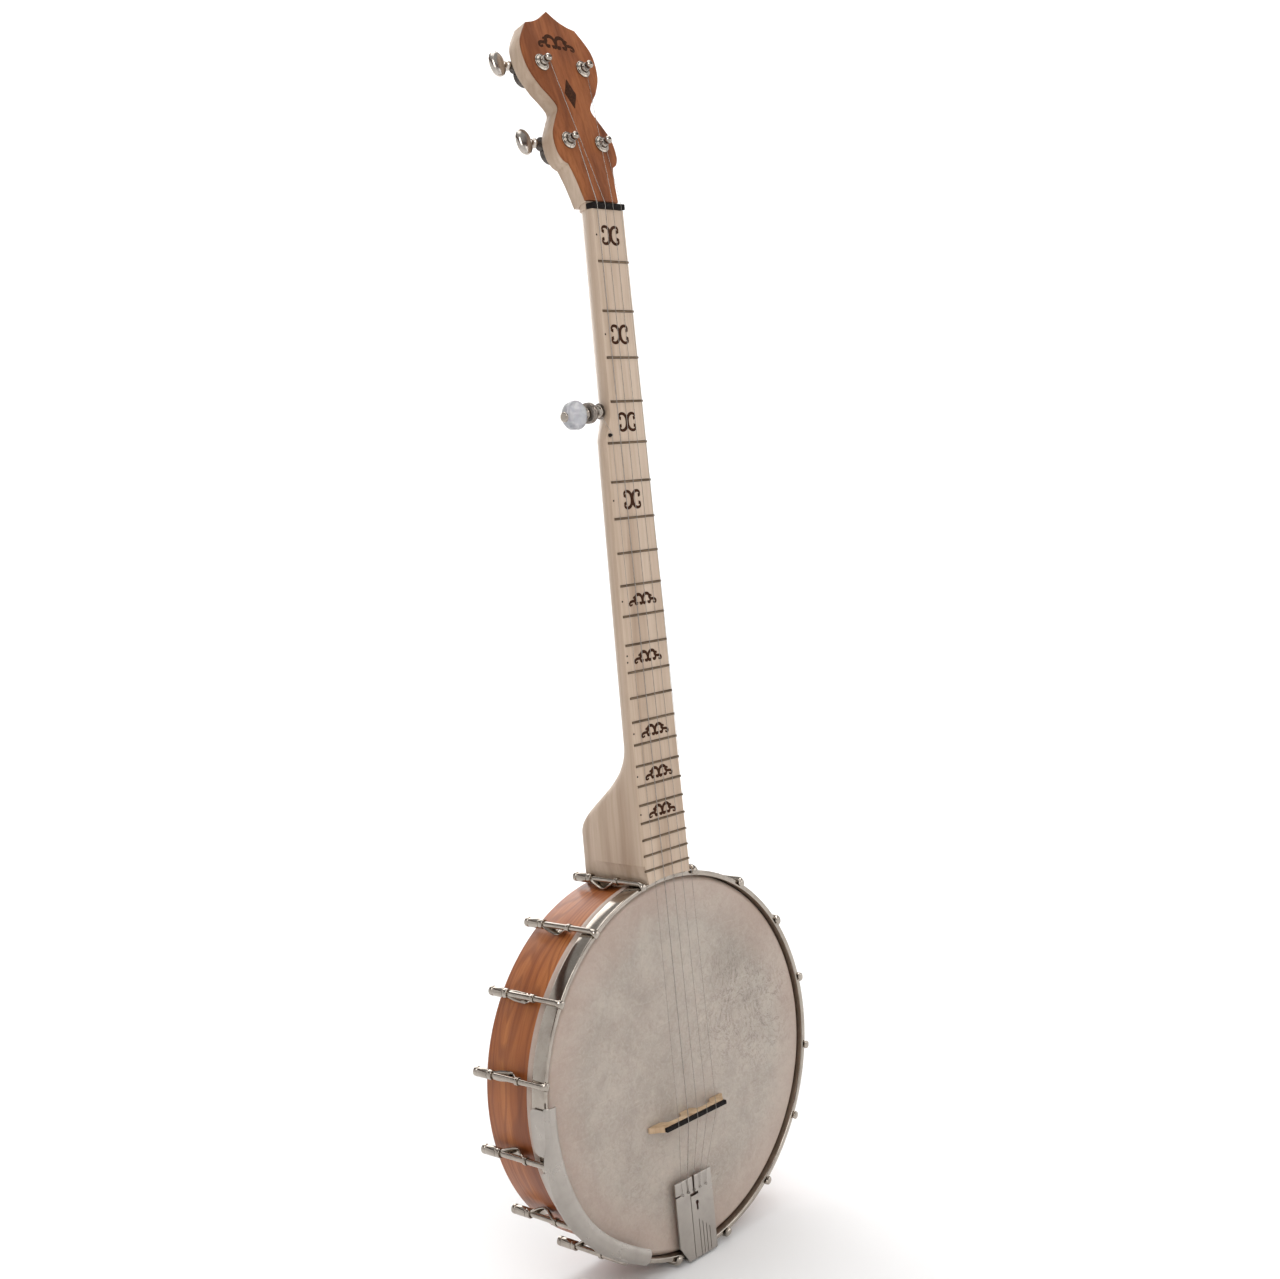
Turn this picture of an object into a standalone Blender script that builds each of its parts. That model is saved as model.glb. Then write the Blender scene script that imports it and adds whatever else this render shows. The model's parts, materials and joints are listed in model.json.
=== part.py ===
"""Open-back five-string banjo.

Metres, +Z up. The neck points up along +Z, the head faces -Y, and the fifth string is on the
-X side. Everything hangs from the empty "instrument", whose own origin is the front edge of the
nut on the fingerboard's surface; the world origin is where a wall hanger holds the peghead.
"""
import math

import bmesh
import bpy
from mathutils import Matrix, Vector

# ---------------------------------------------------------------- driving dimensions (metres)
FIT_GAP = 0.0003                 # clearance that touching pieces keep

SCALE_LENGTH = 0.66675           # nut to bridge, 26.25 in
FRET_COUNT = 22
NUT_HALF_WIDTH = 0.016
BOARD_TAPER = 0.0103             # half-width gained per metre of neck
FIFTH_FRET_EDGE = 0.0243         # bass edge just below the fifth fret
FIFTH_EDGE_TAPER = 0.0135
FIFTH_STEP_START = 0.146         # where the bass side starts to widen for the fifth string
FIFTH_STEP_END = 0.166
NECK_DEPTH = 0.0205
NECK_DEPTH_TAPER = 0.004
HEEL_DEPTH = 0.0705
HEEL_START = 0.388               # below the nut, where the back starts to swell
HEEL_FULL = 0.456                # where the heel has its full depth

PEGHEAD_TILT = math.radians(15)
PEGHEAD_THICKNESS = 0.0122
OVERLAY_THICKNESS = 0.0015
PEGHEAD_START = Vector((0, 0.004, 0.004))   # face plane, just above the nut

RIM_RADIUS = 0.1397              # an 11 in pot
RIM_WALL = 0.0127
RIM_FRONT = 0.0074
RIM_BACK = 0.0700
POT_DROP = 0.633                 # nut to the pot's axis
RING_STEPS = 64
HEAD_FACE = 0.0064
HEAD_SKIN = 0.0005
HOOP_FRONT = 0.0036
HOOP_BACK = 0.0170
HOOP_INNER = 0.1408
HOOP_OUTER = 0.1446
FLESH_HOOP_BACK = 0.0240

BRACKET_COUNT = 16
HOOK_RADIUS = 0.0021
HOOK_CIRCLE = 0.1470             # the hooks' axes stand on this circle
HOOK_NUT_RADIUS = 0.0037
HOOK_NUT_FRONT = 0.0585
HOOK_NUT_BACK = 0.0725
BOLT_RADIUS = 0.0024
BOLT_DEPTH = 0.0420              # shoe bolts, behind the fingerboard's plane

ROD_RADIUS = 0.0045
ROD_DEPTH = 0.0480
ROD_STUD_RADIUS = 0.0030

BRIDGE_HEIGHT = 0.0130
BRIDGE_LENGTH = 0.0820
BRIDGE_TOP_LENGTH = 0.0664
BRIDGE_CENTRE = -0.0033
STRING_SPACING_BRIDGE = 0.0105
STRING_SPACING_NUT = 0.0082
STRING_RADII = (0.00016, 0.00019, 0.00022, 0.00032, 0.00016)

TAIL_TOP = 0.0840                # below the pot's axis
TAIL_FOLD = 0.1474               # where the plate turns back over the hoop
TAIL_FRONT = 0.0008
TAIL_LEFT = -0.0268
TAIL_RIGHT = 0.0136
TAIL_CORNER = 0.1335             # where the left edge turns in towards the fold
TAIL_STRAP_LEFT = -0.0172        # left edge of the fold and of the strap behind it
TAIL_PLATE = 0.0018

UPPER_POSTS = (0.0207, 0.1084)   # across, and up along the face
LOWER_POSTS = (0.0168, 0.0483)
POST_RADIUS = 0.0030
POST_RISE = 0.0100
BUTTON_REACH = 0.0238            # post axis to the middle of its button
WORM_OFFSET = 0.0067             # the worm shaft lies this far above the post
WORM_DEPTH = 0.0200              # behind the peghead's face

FIFTH_PEG_DROP = 0.1435
FIFTH_PEG_DEPTH = 0.0088
FIFTH_NUT_DROP = 0.1615

HANGER = Vector((0, 0.020, 0.037))   # where a hanger's yoke takes the peghead

NICKEL = (0.62, 0.60, 0.57)
SATIN_NICKEL = (0.48, 0.45, 0.42)
MAPLE = (0.66, 0.52, 0.40)
CHERRY = (0.42, 0.20, 0.11)


# ---------------------------------------------------------------- scene helpers
def clear_scene():
    for old in list(bpy.data.objects):
        bpy.data.objects.remove(old, do_unlink=True)


clear_scene()
parts = bpy.data.collections.new("banjo")
cutters = bpy.data.collections.new("cutters")
for group in (parts, cutters):
    bpy.context.scene.collection.children.link(group)


def add_empty(name, location=(0, 0, 0), rotation=(0, 0, 0), parent=None):
    empty = bpy.data.objects.new(name, None)
    parts.objects.link(empty)
    empty.location = location
    empty.rotation_euler = rotation
    empty.parent = parent
    return empty


def finish_material(name, colour, roughness, metallic):
    material = bpy.data.materials.new(name)
    material.use_nodes = True
    shader = material.node_tree.nodes["Principled BSDF"]
    shader.inputs["Base Color"].default_value = (*colour, 1)
    shader.inputs["Roughness"].default_value = roughness
    shader.inputs["Metallic"].default_value = metallic
    material.diffuse_color = (*colour, 1)
    return material


def add_part(name, mesh, parent, finish, location=(0, 0, 0), rotation=(0, 0, 0)):
    """One sub-part: a mesh in its parent's frame, with a material of its own."""
    part = bpy.data.objects.new(name, mesh)
    parts.objects.link(part)
    part.parent = parent
    part.location = location
    part.rotation_euler = rotation
    material = finish_material(name, *finish)
    part.data.materials.append(material)
    part.data.shade_smooth()
    part.data.set_sharp_from_angle(angle=math.radians(35))
    return part


def add_cutter(name, mesh, parent, location=(0, 0, 0), rotation=(0, 0, 0)):
    cutter = bpy.data.objects.new(name, mesh)
    cutters.objects.link(cutter)
    cutter.parent = parent
    cutter.location = location
    cutter.rotation_euler = rotation
    cutter.hide_render = True
    cutter.display_type = "WIRE"
    return cutter


def combine(part, other, operation):
    step = part.modifiers.new(operation.lower() + "_" + other.name, "BOOLEAN")
    step.operation = operation
    step.solver = "EXACT"
    step.object = other


def bevel(part, width, angle=40, segments=1):
    step = part.modifiers.new("rounded_edges", "BEVEL")
    step.width = width
    step.segments = segments
    step.limit_method = "ANGLE"
    step.angle_limit = math.radians(angle)


# ---------------------------------------------------------------- mesh helpers
def mesh_of(bm, name):
    mesh = bpy.data.meshes.new(name)
    bm.to_mesh(mesh)
    bm.free()
    return mesh


def box_mesh(name, low, high):
    low = Vector(low)
    high = Vector(high)
    size = high - low
    bm = bmesh.new()
    place = Matrix.Translation((low + high) / 2) @ Matrix.Diagonal((*size, 1))
    bmesh.ops.create_cube(bm, size=1, matrix=place)
    return mesh_of(bm, name)


def add_cylinder(bm, radius, start, end, sides=12, end_radius=None):
    """A capped cylinder or cone from start to end, added to bm."""
    start = Vector(start)
    end = Vector(end)
    axis = end - start
    turn = Vector((0, 0, 1)).rotation_difference(axis).to_matrix().to_4x4()
    place = Matrix.Translation((start + end) / 2) @ turn
    bmesh.ops.create_cone(
        bm, cap_ends=True, segments=sides, radius1=radius,
        radius2=radius if end_radius is None else end_radius, depth=axis.length, matrix=place)


def cylinder_mesh(name, radius, start, end, sides=12):
    bm = bmesh.new()
    add_cylinder(bm, radius, start, end, sides)
    return mesh_of(bm, name)


def turned_mesh(name, profile, steps, closed=False):
    """Revolve a profile of (radius, height) pairs round local Z with a Screw modifier."""
    bm = bmesh.new()
    verts = [bm.verts.new((radius, 0, height)) for radius, height in profile]
    for first, second in zip(verts, verts[1:]):
        bm.edges.new((first, second))
    if closed:
        bm.edges.new((verts[-1], verts[0]))
    raw = mesh_of(bm, name + "_profile")
    holder = bpy.data.objects.new(name + "_turning", raw)
    bpy.context.scene.collection.objects.link(holder)
    screw = holder.modifiers.new("turn", "SCREW")
    screw.steps = steps
    screw.render_steps = steps
    screw.use_merge_vertices = True
    screw.merge_threshold = 0.00001
    return applied_mesh(holder, name)


def applied_mesh(holder, name):
    """Evaluate an object's modifiers or its curve into a welded mesh, and drop the object."""
    bpy.context.view_layer.update()
    evaluated = holder.evaluated_get(bpy.context.evaluated_depsgraph_get())
    mesh = bpy.data.meshes.new_from_object(evaluated)
    mesh.name = name
    place = holder.matrix_world.copy()
    bpy.data.objects.remove(holder, do_unlink=True)
    bm = bmesh.new()
    bm.from_mesh(mesh)
    bm.transform(place)
    bmesh.ops.remove_doubles(bm, verts=bm.verts, dist=0.000001)
    bm.to_mesh(mesh)
    bm.free()
    mesh.materials.clear()
    return mesh


def plate_mesh(name, outline, thickness):
    """A flat outline in local XY, extruded thickness/2 to each side of it."""
    curve = bpy.data.curves.new(name, "CURVE")
    curve.dimensions = "2D"
    curve.fill_mode = "BOTH"
    curve.extrude = thickness / 2
    spline = curve.splines.new("POLY")
    spline.points.add(len(outline) - 1)
    for point, (across, along) in zip(spline.points, outline):
        point.co = (across, along, 0, 1)
    spline.use_cyclic_u = True
    holder = bpy.data.objects.new(name, curve)
    bpy.context.scene.collection.objects.link(holder)
    return applied_mesh(holder, name)


def wire_mesh(name, route, radius):
    """A round wire with filled ends along a list of points."""
    curve = bpy.data.curves.new(name, "CURVE")
    curve.dimensions = "3D"
    curve.bevel_depth = radius
    curve.bevel_resolution = 1
    curve.use_fill_caps = True
    spline = curve.splines.new("POLY")
    spline.points.add(len(route) - 1)
    for point, place in zip(spline.points, route):
        point.co = (*place, 1)
    holder = bpy.data.objects.new(name, curve)
    bpy.context.scene.collection.objects.link(holder)
    return applied_mesh(holder, name)


def joined(name, meshes):
    """Boolean union of several closed meshes into one closed mesh."""
    base = bpy.data.objects.new(name, meshes[0])
    bpy.context.scene.collection.objects.link(base)
    helpers = []
    for index, mesh in enumerate(meshes[1:]):
        helper = bpy.data.objects.new(name + "_joining_" + str(index), mesh)
        bpy.context.scene.collection.objects.link(helper)
        helpers.append(helper)
        combine(base, helper, "UNION")
    result = applied_mesh(base, name)
    for helper in helpers:
        bpy.data.objects.remove(helper, do_unlink=True)
    return result


def smoothed(points, steps):
    """A Catmull-Rom curve through an outline's points, with steps pieces between neighbours."""
    knots = [Vector(point) for point in (points[0], *points, points[-1])]
    curve = []
    for before, start, end, after in zip(knots, knots[1:], knots[2:], knots[3:]):
        for step in range(steps):
            share = step / steps
            pull = (end - before) * share * (1 - share) ** 2
            push = (after - start) * share ** 2 * (1 - share)
            place = blend_between(start, end, smoothstep(share)) + (pull - push) / 2
            curve.append(tuple(place))
    curve.append(tuple(knots[-1]))
    return curve


def mirrored(points):
    """Complete a right-hand outline, listed bottom to top, with its left-hand half."""
    left = [(-across, along) for across, along in reversed(points) if across > 0]
    return points + left


def loft_mesh(name, rings):
    """Skin a list of closed rings with equal point counts, and cap both ends."""
    bm = bmesh.new()
    rows = [[bm.verts.new(point) for point in ring] for ring in rings]
    count = len(rows[0])
    for lower, upper in zip(rows, rows[1:]):
        for index in range(count):
            following = (index + 1) % count
            bm.faces.new((lower[index], lower[following], upper[following], upper[index]))
    bm.faces.new(list(reversed(rows[0])))
    bm.faces.new(rows[-1])
    bmesh.ops.recalc_face_normals(bm, faces=bm.faces)
    return mesh_of(bm, name)


def smoothstep(value):
    value = min(max(value, 0), 1)
    return value * value * (3 - 2 * value)


def blend_between(first, second, share):
    return first + (second - first) * share


# ---------------------------------------------------------------- frames
instrument = add_empty("instrument", location=-HANGER)
# Local Z of the pot runs back through the rim, and local X of a bracket points away from it.
pot = add_empty("pot", (0, 0, -POT_DROP), (-math.pi / 2, 0, 0), instrument)
# Local Z of the peghead stands out of its face, and local Y runs up along it.
peghead = add_empty("peghead", PEGHEAD_START, (math.pi / 2 - PEGHEAD_TILT, 0, 0), instrument)


def bracket_angle(number):
    """Angle round the pot's local Z for bracket 1 to 16, counted from the neck, bass side first."""
    from_neck = 2 * math.pi * (number - 0.5) / BRACKET_COUNT
    return -math.pi / 2 - from_neck


WOOD_FINISH = (MAPLE, 0.45, 0)
RIM_FINISH = (CHERRY, 0.4, 0)
NICKEL_FINISH = (NICKEL, 0.2, 1)
SATIN_FINISH = (SATIN_NICKEL, 0.38, 1)
BLACK_FINISH = ((0.02, 0.02, 0.02), 0.45, 0)
SKIN_FINISH = ((0.40, 0.36, 0.31), 0.6, 0)
PEARL_FINISH = ((0.75, 0.75, 0.77), 0.25, 0)
STEEL_FINISH = ((0.6, 0.58, 0.55), 0.3, 1)


# ---------------------------------------------------------------- neck
def fret_drop(number):
    return SCALE_LENGTH * (1 - 2 ** (-number / 12))


def treble_edge(drop):
    return NUT_HALF_WIDTH + BOARD_TAPER * max(drop, 0)


def bass_edge(drop):
    narrow = NUT_HALF_WIDTH + BOARD_TAPER * max(drop, 0)
    wide = FIFTH_FRET_EDGE + FIFTH_EDGE_TAPER * (drop - fret_drop(5))
    share = (drop - FIFTH_STEP_START) / (FIFTH_STEP_END - FIFTH_STEP_START)
    return blend_between(narrow, wide, smoothstep(share))


def neck_ring(drop, front, arc_points=14):
    """A section of the neck: a flat front, short straight sides, and a round or boxy back."""
    heel = (drop - HEEL_START) / (HEEL_FULL - HEEL_START)
    swell = smoothstep(heel) ** 1.5
    depth = NECK_DEPTH + NECK_DEPTH_TAPER * max(drop, 0)
    depth = blend_between(depth, HEEL_DEPTH, swell)
    squareness = blend_between(2.0, 7.0, smoothstep(heel))
    narrowing = blend_between(1.0, 0.95, smoothstep(heel))
    side = front + 0.0035
    right = treble_edge(drop)
    left = bass_edge(drop)
    ring = [(-left, front, -drop), (right, front, -drop)]
    for step in range(arc_points + 1):
        turn = math.pi * step / arc_points
        across = math.copysign(abs(math.cos(turn)) ** (2 / squareness), math.cos(turn))
        back = abs(math.sin(turn)) ** (2 / squareness)
        width = (right if across > 0 else left) * blend_between(1, narrowing, back)
        ring.append((across * width, side + (depth - side) * back, -drop))
    return ring


NUT_SEAT = 0.0061
board_end = POT_DROP - RIM_RADIUS + 0.012
shaft_drops = [0.0003, 0.03, 0.08, 0.13]
shaft_drops += [FIFTH_STEP_START + 0.004 * step for step in range(6)]
shaft_drops += [0.20, 0.26, 0.32, 0.36]
shaft_drops += [HEEL_START + (HEEL_FULL - HEEL_START) * step / 12 for step in range(13)]
shaft_drops += [0.475, board_end]
neck_rings = [neck_ring(drop, 0) for drop in reversed(shaft_drops)]
neck_rings += [neck_ring(0.0001, NUT_SEAT), neck_ring(-0.006, 0.0068)]
shaft_end = [(x * 0.8, y + 0.0035 if y < 0.012 else y - 0.001, 0.016)
             for x, y, z in neck_ring(0, 0.0068)]
neck_rings.append(shaft_end)

PEGHEAD_CURVES = [               # flare, small lobe, waist, large lobe and tip, meeting at corners
    [(0.0165, 0.0016), (0.0192, 0.0190), (0.0223, 0.0305)],
    [(0.0223, 0.0305), (0.0270, 0.0335), (0.0300, 0.0410), (0.0288, 0.0540), (0.0205, 0.0680)],
    [(0.0205, 0.0680), (0.0168, 0.0765), (0.0273, 0.0895)],
    [(0.0273, 0.0895), (0.0350, 0.1040), (0.0355, 0.1230), (0.0245, 0.1400)],
    [(0.0245, 0.1400), (0.0168, 0.1418), (0.0087, 0.1455), (0.0, 0.1518)]]
peghead_half = [PEGHEAD_CURVES[0][0]]
for curve in PEGHEAD_CURVES:
    peghead_half += smoothed(curve, 3)[1:]
peghead_outline = mirrored(peghead_half)


def plate_at_depth(name, thickness, depth, outline):
    """A plate in the peghead's frame whose front lies depth behind the face."""
    mesh = plate_mesh(name, outline, thickness)
    mesh.transform(Matrix.Translation((0, 0, -depth - thickness / 2)))
    return mesh


to_instrument = Matrix.Translation(PEGHEAD_START) @ Matrix.Rotation(
    math.pi / 2 - PEGHEAD_TILT, 4, "X")
plate_depth = OVERLAY_THICKNESS + FIT_GAP
plate = plate_at_depth("peghead_plate", PEGHEAD_THICKNESS, plate_depth, peghead_outline)
plate.transform(to_instrument)


def fret_bar(number):
    """A fret's crown with its tang sunk in the board."""
    drop = fret_drop(number)
    bass = NUT_HALF_WIDTH + BOARD_TAPER * drop if number < 5 else bass_edge(drop)
    low = (-bass + 0.0013, -0.0010, -drop - 0.00115)
    high = (treble_edge(drop) - 0.0003, 0.0015, -drop + 0.00115)
    return box_mesh("fret_" + str(number), low, high)


neck_pieces = [loft_mesh("neck_shaft", neck_rings), plate]
neck_pieces += [fret_bar(number) for number in range(1, FRET_COUNT + 1)]
neck = add_part("neck", joined("neck", neck_pieces), instrument, WOOD_FINISH)

hoop_notch = add_cutter("hoop_notch", cylinder_mesh(
    "hoop_notch", HOOP_OUTER + 0.0004, (0, 0, -0.010), (0, 0, FLESH_HOOP_BACK + 0.0012),
    RING_STEPS), pot)
combine(neck, hoop_notch, "DIFFERENCE")
rim_notch = add_cutter("rim_notch", cylinder_mesh(
    "rim_notch", RIM_RADIUS + FIT_GAP * 1.5, (0, 0, 0.010), (0, 0, RIM_BACK + 0.010),
    RING_STEPS), pot)
combine(neck, rim_notch, "DIFFERENCE")
bracket_notch = add_cutter("bracket_notch", box_mesh(
    "bracket_notch", (RIM_RADIUS - 0.004, -0.0044, -0.004), (0.1600, 0.0044, 0.0800)), pot,
    rotation=(0, 0, bracket_angle(1)))
combine(neck, bracket_notch, "DIFFERENCE")
stud_hole = add_cutter("stud_hole", cylinder_mesh(
    "stud_hole", ROD_STUD_RADIUS + FIT_GAP, (0, ROD_DEPTH, -POT_DROP + 0.1),
    (0, ROD_DEPTH, -POT_DROP + RIM_RADIUS + 0.026)), instrument)
combine(neck, stud_hole, "DIFFERENCE")

POSTS = {
    "bass_upper": (-1, *UPPER_POSTS), "bass_lower": (-1, *LOWER_POSTS),
    "treble_upper": (1, *UPPER_POSTS), "treble_lower": (1, *LOWER_POSTS)}
BUSHING_SLEEVE = 0.0042
for place, (side, across, along) in POSTS.items():
    bore = add_cutter("post_bore_" + place, cylinder_mesh(
        "post_bore_" + place, BUSHING_SLEEVE + FIT_GAP, (side * across, along, -0.03),
        (side * across, along, 0.01)), peghead)
    combine(neck, bore, "DIFFERENCE")

fifth_peg = add_empty("fifth_peg", (-0.0190, FIFTH_PEG_DEPTH, -FIFTH_PEG_DROP),
                      (0, -math.pi / 2 - math.radians(5), 0), instrument)
SHANK_RADIUS = 0.0036
peg_hole = add_cutter("peg_hole", cylinder_mesh(
    "peg_hole", SHANK_RADIUS + FIT_GAP, (0, 0, -0.0085), (0, 0, 0.006)), fifth_peg)
combine(neck, peg_hole, "DIFFERENCE")
spike_hole = add_cutter("spike_hole", cylinder_mesh(
    "spike_hole", 0.0010, (-0.0206, -0.002, -FIFTH_NUT_DROP), (-0.0206, 0.0062, -FIFTH_NUT_DROP),
    8), instrument)
combine(neck, spike_hole, "DIFFERENCE")

overlay = add_part("peghead_overlay", plate_at_depth(
    "peghead_overlay", OVERLAY_THICKNESS, 0,
    [(across, max(along, 0.0026)) for across, along in peghead_outline]),
    peghead, RIM_FINISH)
for place, (side, across, along) in POSTS.items():
    bore = cutters.objects["post_bore_" + place]
    combine(overlay, bore, "DIFFERENCE")

nut = add_part("nut", box_mesh(
    "nut", (-NUT_HALF_WIDTH, -0.0018, 0), (NUT_HALF_WIDTH, NUT_SEAT - FIT_GAP, 0.0042)),
    instrument, BLACK_FINISH)
bevel(nut, 0.0005)

add_part("fifth_string_nut", turned_mesh(
    "fifth_string_nut",
    [(0, 0.0028), (0.0008, 0.0027), (0.0014, 0.0020), (0.0014, FIT_GAP), (0.0007, FIT_GAP),
     (0.0007, -0.0058), (0, -0.0058)], 12),
    instrument, BLACK_FINISH, (-0.0206, 0, -FIFTH_NUT_DROP), (math.pi / 2, 0, 0))


# ---------------------------------------------------------------- pot
def ring_part(name, profile, finish):
    """A ring round the pot's axis; profile pairs are (radius, depth), closed."""
    return add_part(name, turned_mesh(name, profile, RING_STEPS, True), pot, finish)


RIM_INNER = RIM_RADIUS - RIM_WALL
rim = ring_part("rim", [
    (RIM_RADIUS, RIM_BACK - 0.0012), (RIM_RADIUS, RIM_FRONT + 0.0030),
    (RIM_RADIUS - 0.0030, RIM_FRONT), (RIM_INNER + 0.0060, RIM_FRONT + 0.0012),
    (RIM_INNER, RIM_FRONT + 0.0050), (RIM_INNER, RIM_BACK - 0.0012),
    (RIM_INNER + 0.0012, RIM_BACK), (RIM_RADIUS - 0.0012, RIM_BACK)], RIM_FINISH)
for number in range(1, BRACKET_COUNT // 2 + 1):
    turn = bracket_angle(number)
    reach = Vector((math.cos(turn), math.sin(turn), 0)) * (RIM_RADIUS + 0.01)
    level = Vector((0, 0, BOLT_DEPTH))
    hole = add_cutter("shoe_bolt_hole_" + str(number), cylinder_mesh(
        "shoe_bolt_hole_" + str(number), BOLT_RADIUS + FIT_GAP, level - reach, level + reach, 8),
        pot)
    combine(rim, hole, "DIFFERENCE")
stud_bore = add_cutter("stud_bore", cylinder_mesh(
    "stud_bore", ROD_STUD_RADIUS + FIT_GAP, (0, ROD_DEPTH, -POT_DROP - RIM_RADIUS - 0.01),
    (0, ROD_DEPTH, -POT_DROP + RIM_RADIUS + 0.01)), instrument)
combine(rim, stud_bore, "DIFFERENCE")

COLLAR_INNER = RIM_RADIUS + FIT_GAP
COLLAR_OUTER = RIM_RADIUS + 0.0008
FLESH_OUTER = HOOP_INNER + 0.0024
head = add_part("head", turned_mesh("head", [
    (0, HEAD_FACE + HEAD_SKIN), (RIM_RADIUS - 0.0036, HEAD_FACE + HEAD_SKIN),
    (COLLAR_INNER, RIM_FRONT + 0.0026), (COLLAR_INNER, FLESH_HOOP_BACK),
    (FLESH_OUTER - 0.0008, FLESH_HOOP_BACK), (FLESH_OUTER, FLESH_HOOP_BACK - 0.0015),
    (FLESH_OUTER, HOOP_BACK + 0.0018), (FLESH_OUTER - 0.0012, HOOP_BACK + 0.0004),
    (COLLAR_OUTER, HOOP_BACK + 0.0004), (COLLAR_OUTER, RIM_FRONT + 0.0022),
    (RIM_RADIUS - 0.0026, HEAD_FACE), (0, HEAD_FACE)], RING_STEPS), pot, SKIN_FINISH)

tension_hoop = ring_part("tension_hoop", [
    (HOOP_OUTER, HOOP_BACK), (HOOP_OUTER, HOOP_FRONT + 0.0014),
    (HOOP_OUTER - 0.0014, HOOP_FRONT), (HOOP_INNER + 0.0006, HOOP_FRONT),
    (HOOP_INNER, HOOP_FRONT + 0.0006), (HOOP_INNER, HOOP_BACK)], NICKEL_FINISH)


# ---------------------------------------------------------------- brackets
def bracket_mesh():
    """Hook, nut, shoe and shoe bolt as one body: local X points away from the pot."""
    bm = bmesh.new()
    add_cylinder(bm, HOOK_RADIUS, (HOOK_CIRCLE, 0, 0.0016), (HOOK_CIRCLE, 0, HOOK_NUT_BACK - 0.001),
                 6)
    shaft = mesh_of(bm, "hook_shaft")
    claw = box_mesh("hook_claw", (HOOP_INNER + 0.0012, -0.0026, 0.0004),
                    (HOOK_CIRCLE + 0.0012, 0.0026, HOOP_FRONT - FIT_GAP))
    hook_nut = cylinder_mesh("hook_nut", HOOK_NUT_RADIUS, (HOOK_CIRCLE, 0, HOOK_NUT_FRONT),
                             (HOOK_CIRCLE, 0, HOOK_NUT_BACK), 8)
    strap = plate_mesh("shoe_strap", shoe_outline(), 0.0078)
    strap.transform(Matrix.Rotation(math.pi / 2, 4, "X"))
    bolt = cylinder_mesh("shoe_bolt", BOLT_RADIUS, (RIM_INNER - 0.0042, 0, BOLT_DEPTH),
                         (RIM_RADIUS + 0.0016, 0, BOLT_DEPTH), 6)
    bolt_nut = cylinder_mesh("shoe_bolt_nut", 0.0046, (RIM_INNER - 0.0034, 0, BOLT_DEPTH),
                             (RIM_INNER - 0.0005, 0, BOLT_DEPTH), 6)
    return joined("bracket", [shaft, claw, hook_nut, strap, bolt, bolt_nut])


def shoe_outline():
    """Side view of the bowed shoe: (radius, depth) pairs, out to the hook at both ends."""
    foot = RIM_RADIUS + 0.0005
    crest = HOOK_CIRCLE + 0.0034
    front = 0.0270
    back = HOOK_NUT_FRONT - 0.0002
    middle = (front + back) / 2
    half = (back - front) / 2
    strap = 0.0019
    steps = 4
    inner = []
    outer = []
    for step in range(-steps, steps + 1):
        share = step / steps
        lift = (1 - math.cos(math.pi * share)) / 2
        depth = middle + half * share * 0.86
        inner.append((foot + (HOOK_CIRCLE - foot) * lift, depth))
        outer.append((foot + strap + (HOOK_CIRCLE - foot) * lift, depth))
    ears_back = [(HOOK_CIRCLE - 0.003, back), (crest, back), (crest, back - 0.0030)]
    return inner + ears_back + list(reversed(outer))


shared_bracket = bracket_mesh()
for number in range(1, BRACKET_COUNT + 1):
    add_part("bracket_%02d" % number, shared_bracket.copy(), pot, NICKEL_FINISH,
             rotation=(0, 0, bracket_angle(number)))


# ---------------------------------------------------------------- coordinator rod and tail bolt
ROD_FLANGE = ROD_RADIUS + 0.0030
ROD_END = RIM_INNER - 0.0010
rod_profile = [
    (0, 0.1605), (ROD_STUD_RADIUS, 0.1605), (ROD_STUD_RADIUS, ROD_END), (ROD_FLANGE, ROD_END),
    (ROD_FLANGE, ROD_END - 0.0050), (ROD_RADIUS, ROD_END - 0.0054),
    (ROD_RADIUS, -ROD_END + 0.0054), (ROD_FLANGE, -ROD_END + 0.0050), (ROD_FLANGE, -ROD_END),
    (0, -ROD_END)]
add_part("coordinator_rod", turned_mesh("coordinator_rod", rod_profile, 16), instrument,
         STEEL_FINISH, (0, ROD_DEPTH, -POT_DROP))

STRAP_REST = RIM_RADIUS + FIT_GAP
BOLT_HEAD_START = STRAP_REST + TAIL_PLATE + FIT_GAP
tail_bolt_profile = [
    (0, -ROD_END - 0.0005), (ROD_STUD_RADIUS, -ROD_END - 0.0005),
    (ROD_STUD_RADIUS, -BOLT_HEAD_START), (0.0066, -BOLT_HEAD_START),
    (0.0066, -BOLT_HEAD_START - 0.0010), (0.0048, -BOLT_HEAD_START - 0.0012),
    (0.0048, -BOLT_HEAD_START - 0.0044), (0.0036, -BOLT_HEAD_START - 0.0056),
    (0, -BOLT_HEAD_START - 0.0056)]
add_part("tail_bolt", turned_mesh("tail_bolt", tail_bolt_profile, 12), instrument,
         NICKEL_FINISH, (0, ROD_DEPTH, -POT_DROP))


# ---------------------------------------------------------------- tailpiece
tail_side = [
    (TAIL_FRONT, -TAIL_TOP), (TAIL_FRONT, -TAIL_FOLD + 0.0022),
    (TAIL_FRONT + 0.0022, -TAIL_FOLD), (0.0260, -TAIL_FOLD),
    (0.0330, -STRAP_REST - TAIL_PLATE), (0.0570, -STRAP_REST - TAIL_PLATE),
    (0.0570, -STRAP_REST), (0.0322, -STRAP_REST), (0.0252, -TAIL_FOLD + TAIL_PLATE),
    (TAIL_FRONT + TAIL_PLATE + 0.0008, -TAIL_FOLD + TAIL_PLATE),
    (TAIL_FRONT + TAIL_PLATE, -TAIL_FOLD + TAIL_PLATE + 0.0008),
    (TAIL_FRONT + TAIL_PLATE, -TAIL_TOP)]
tail_body = plate_mesh("tailpiece", tail_side, TAIL_RIGHT - TAIL_LEFT)
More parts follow.
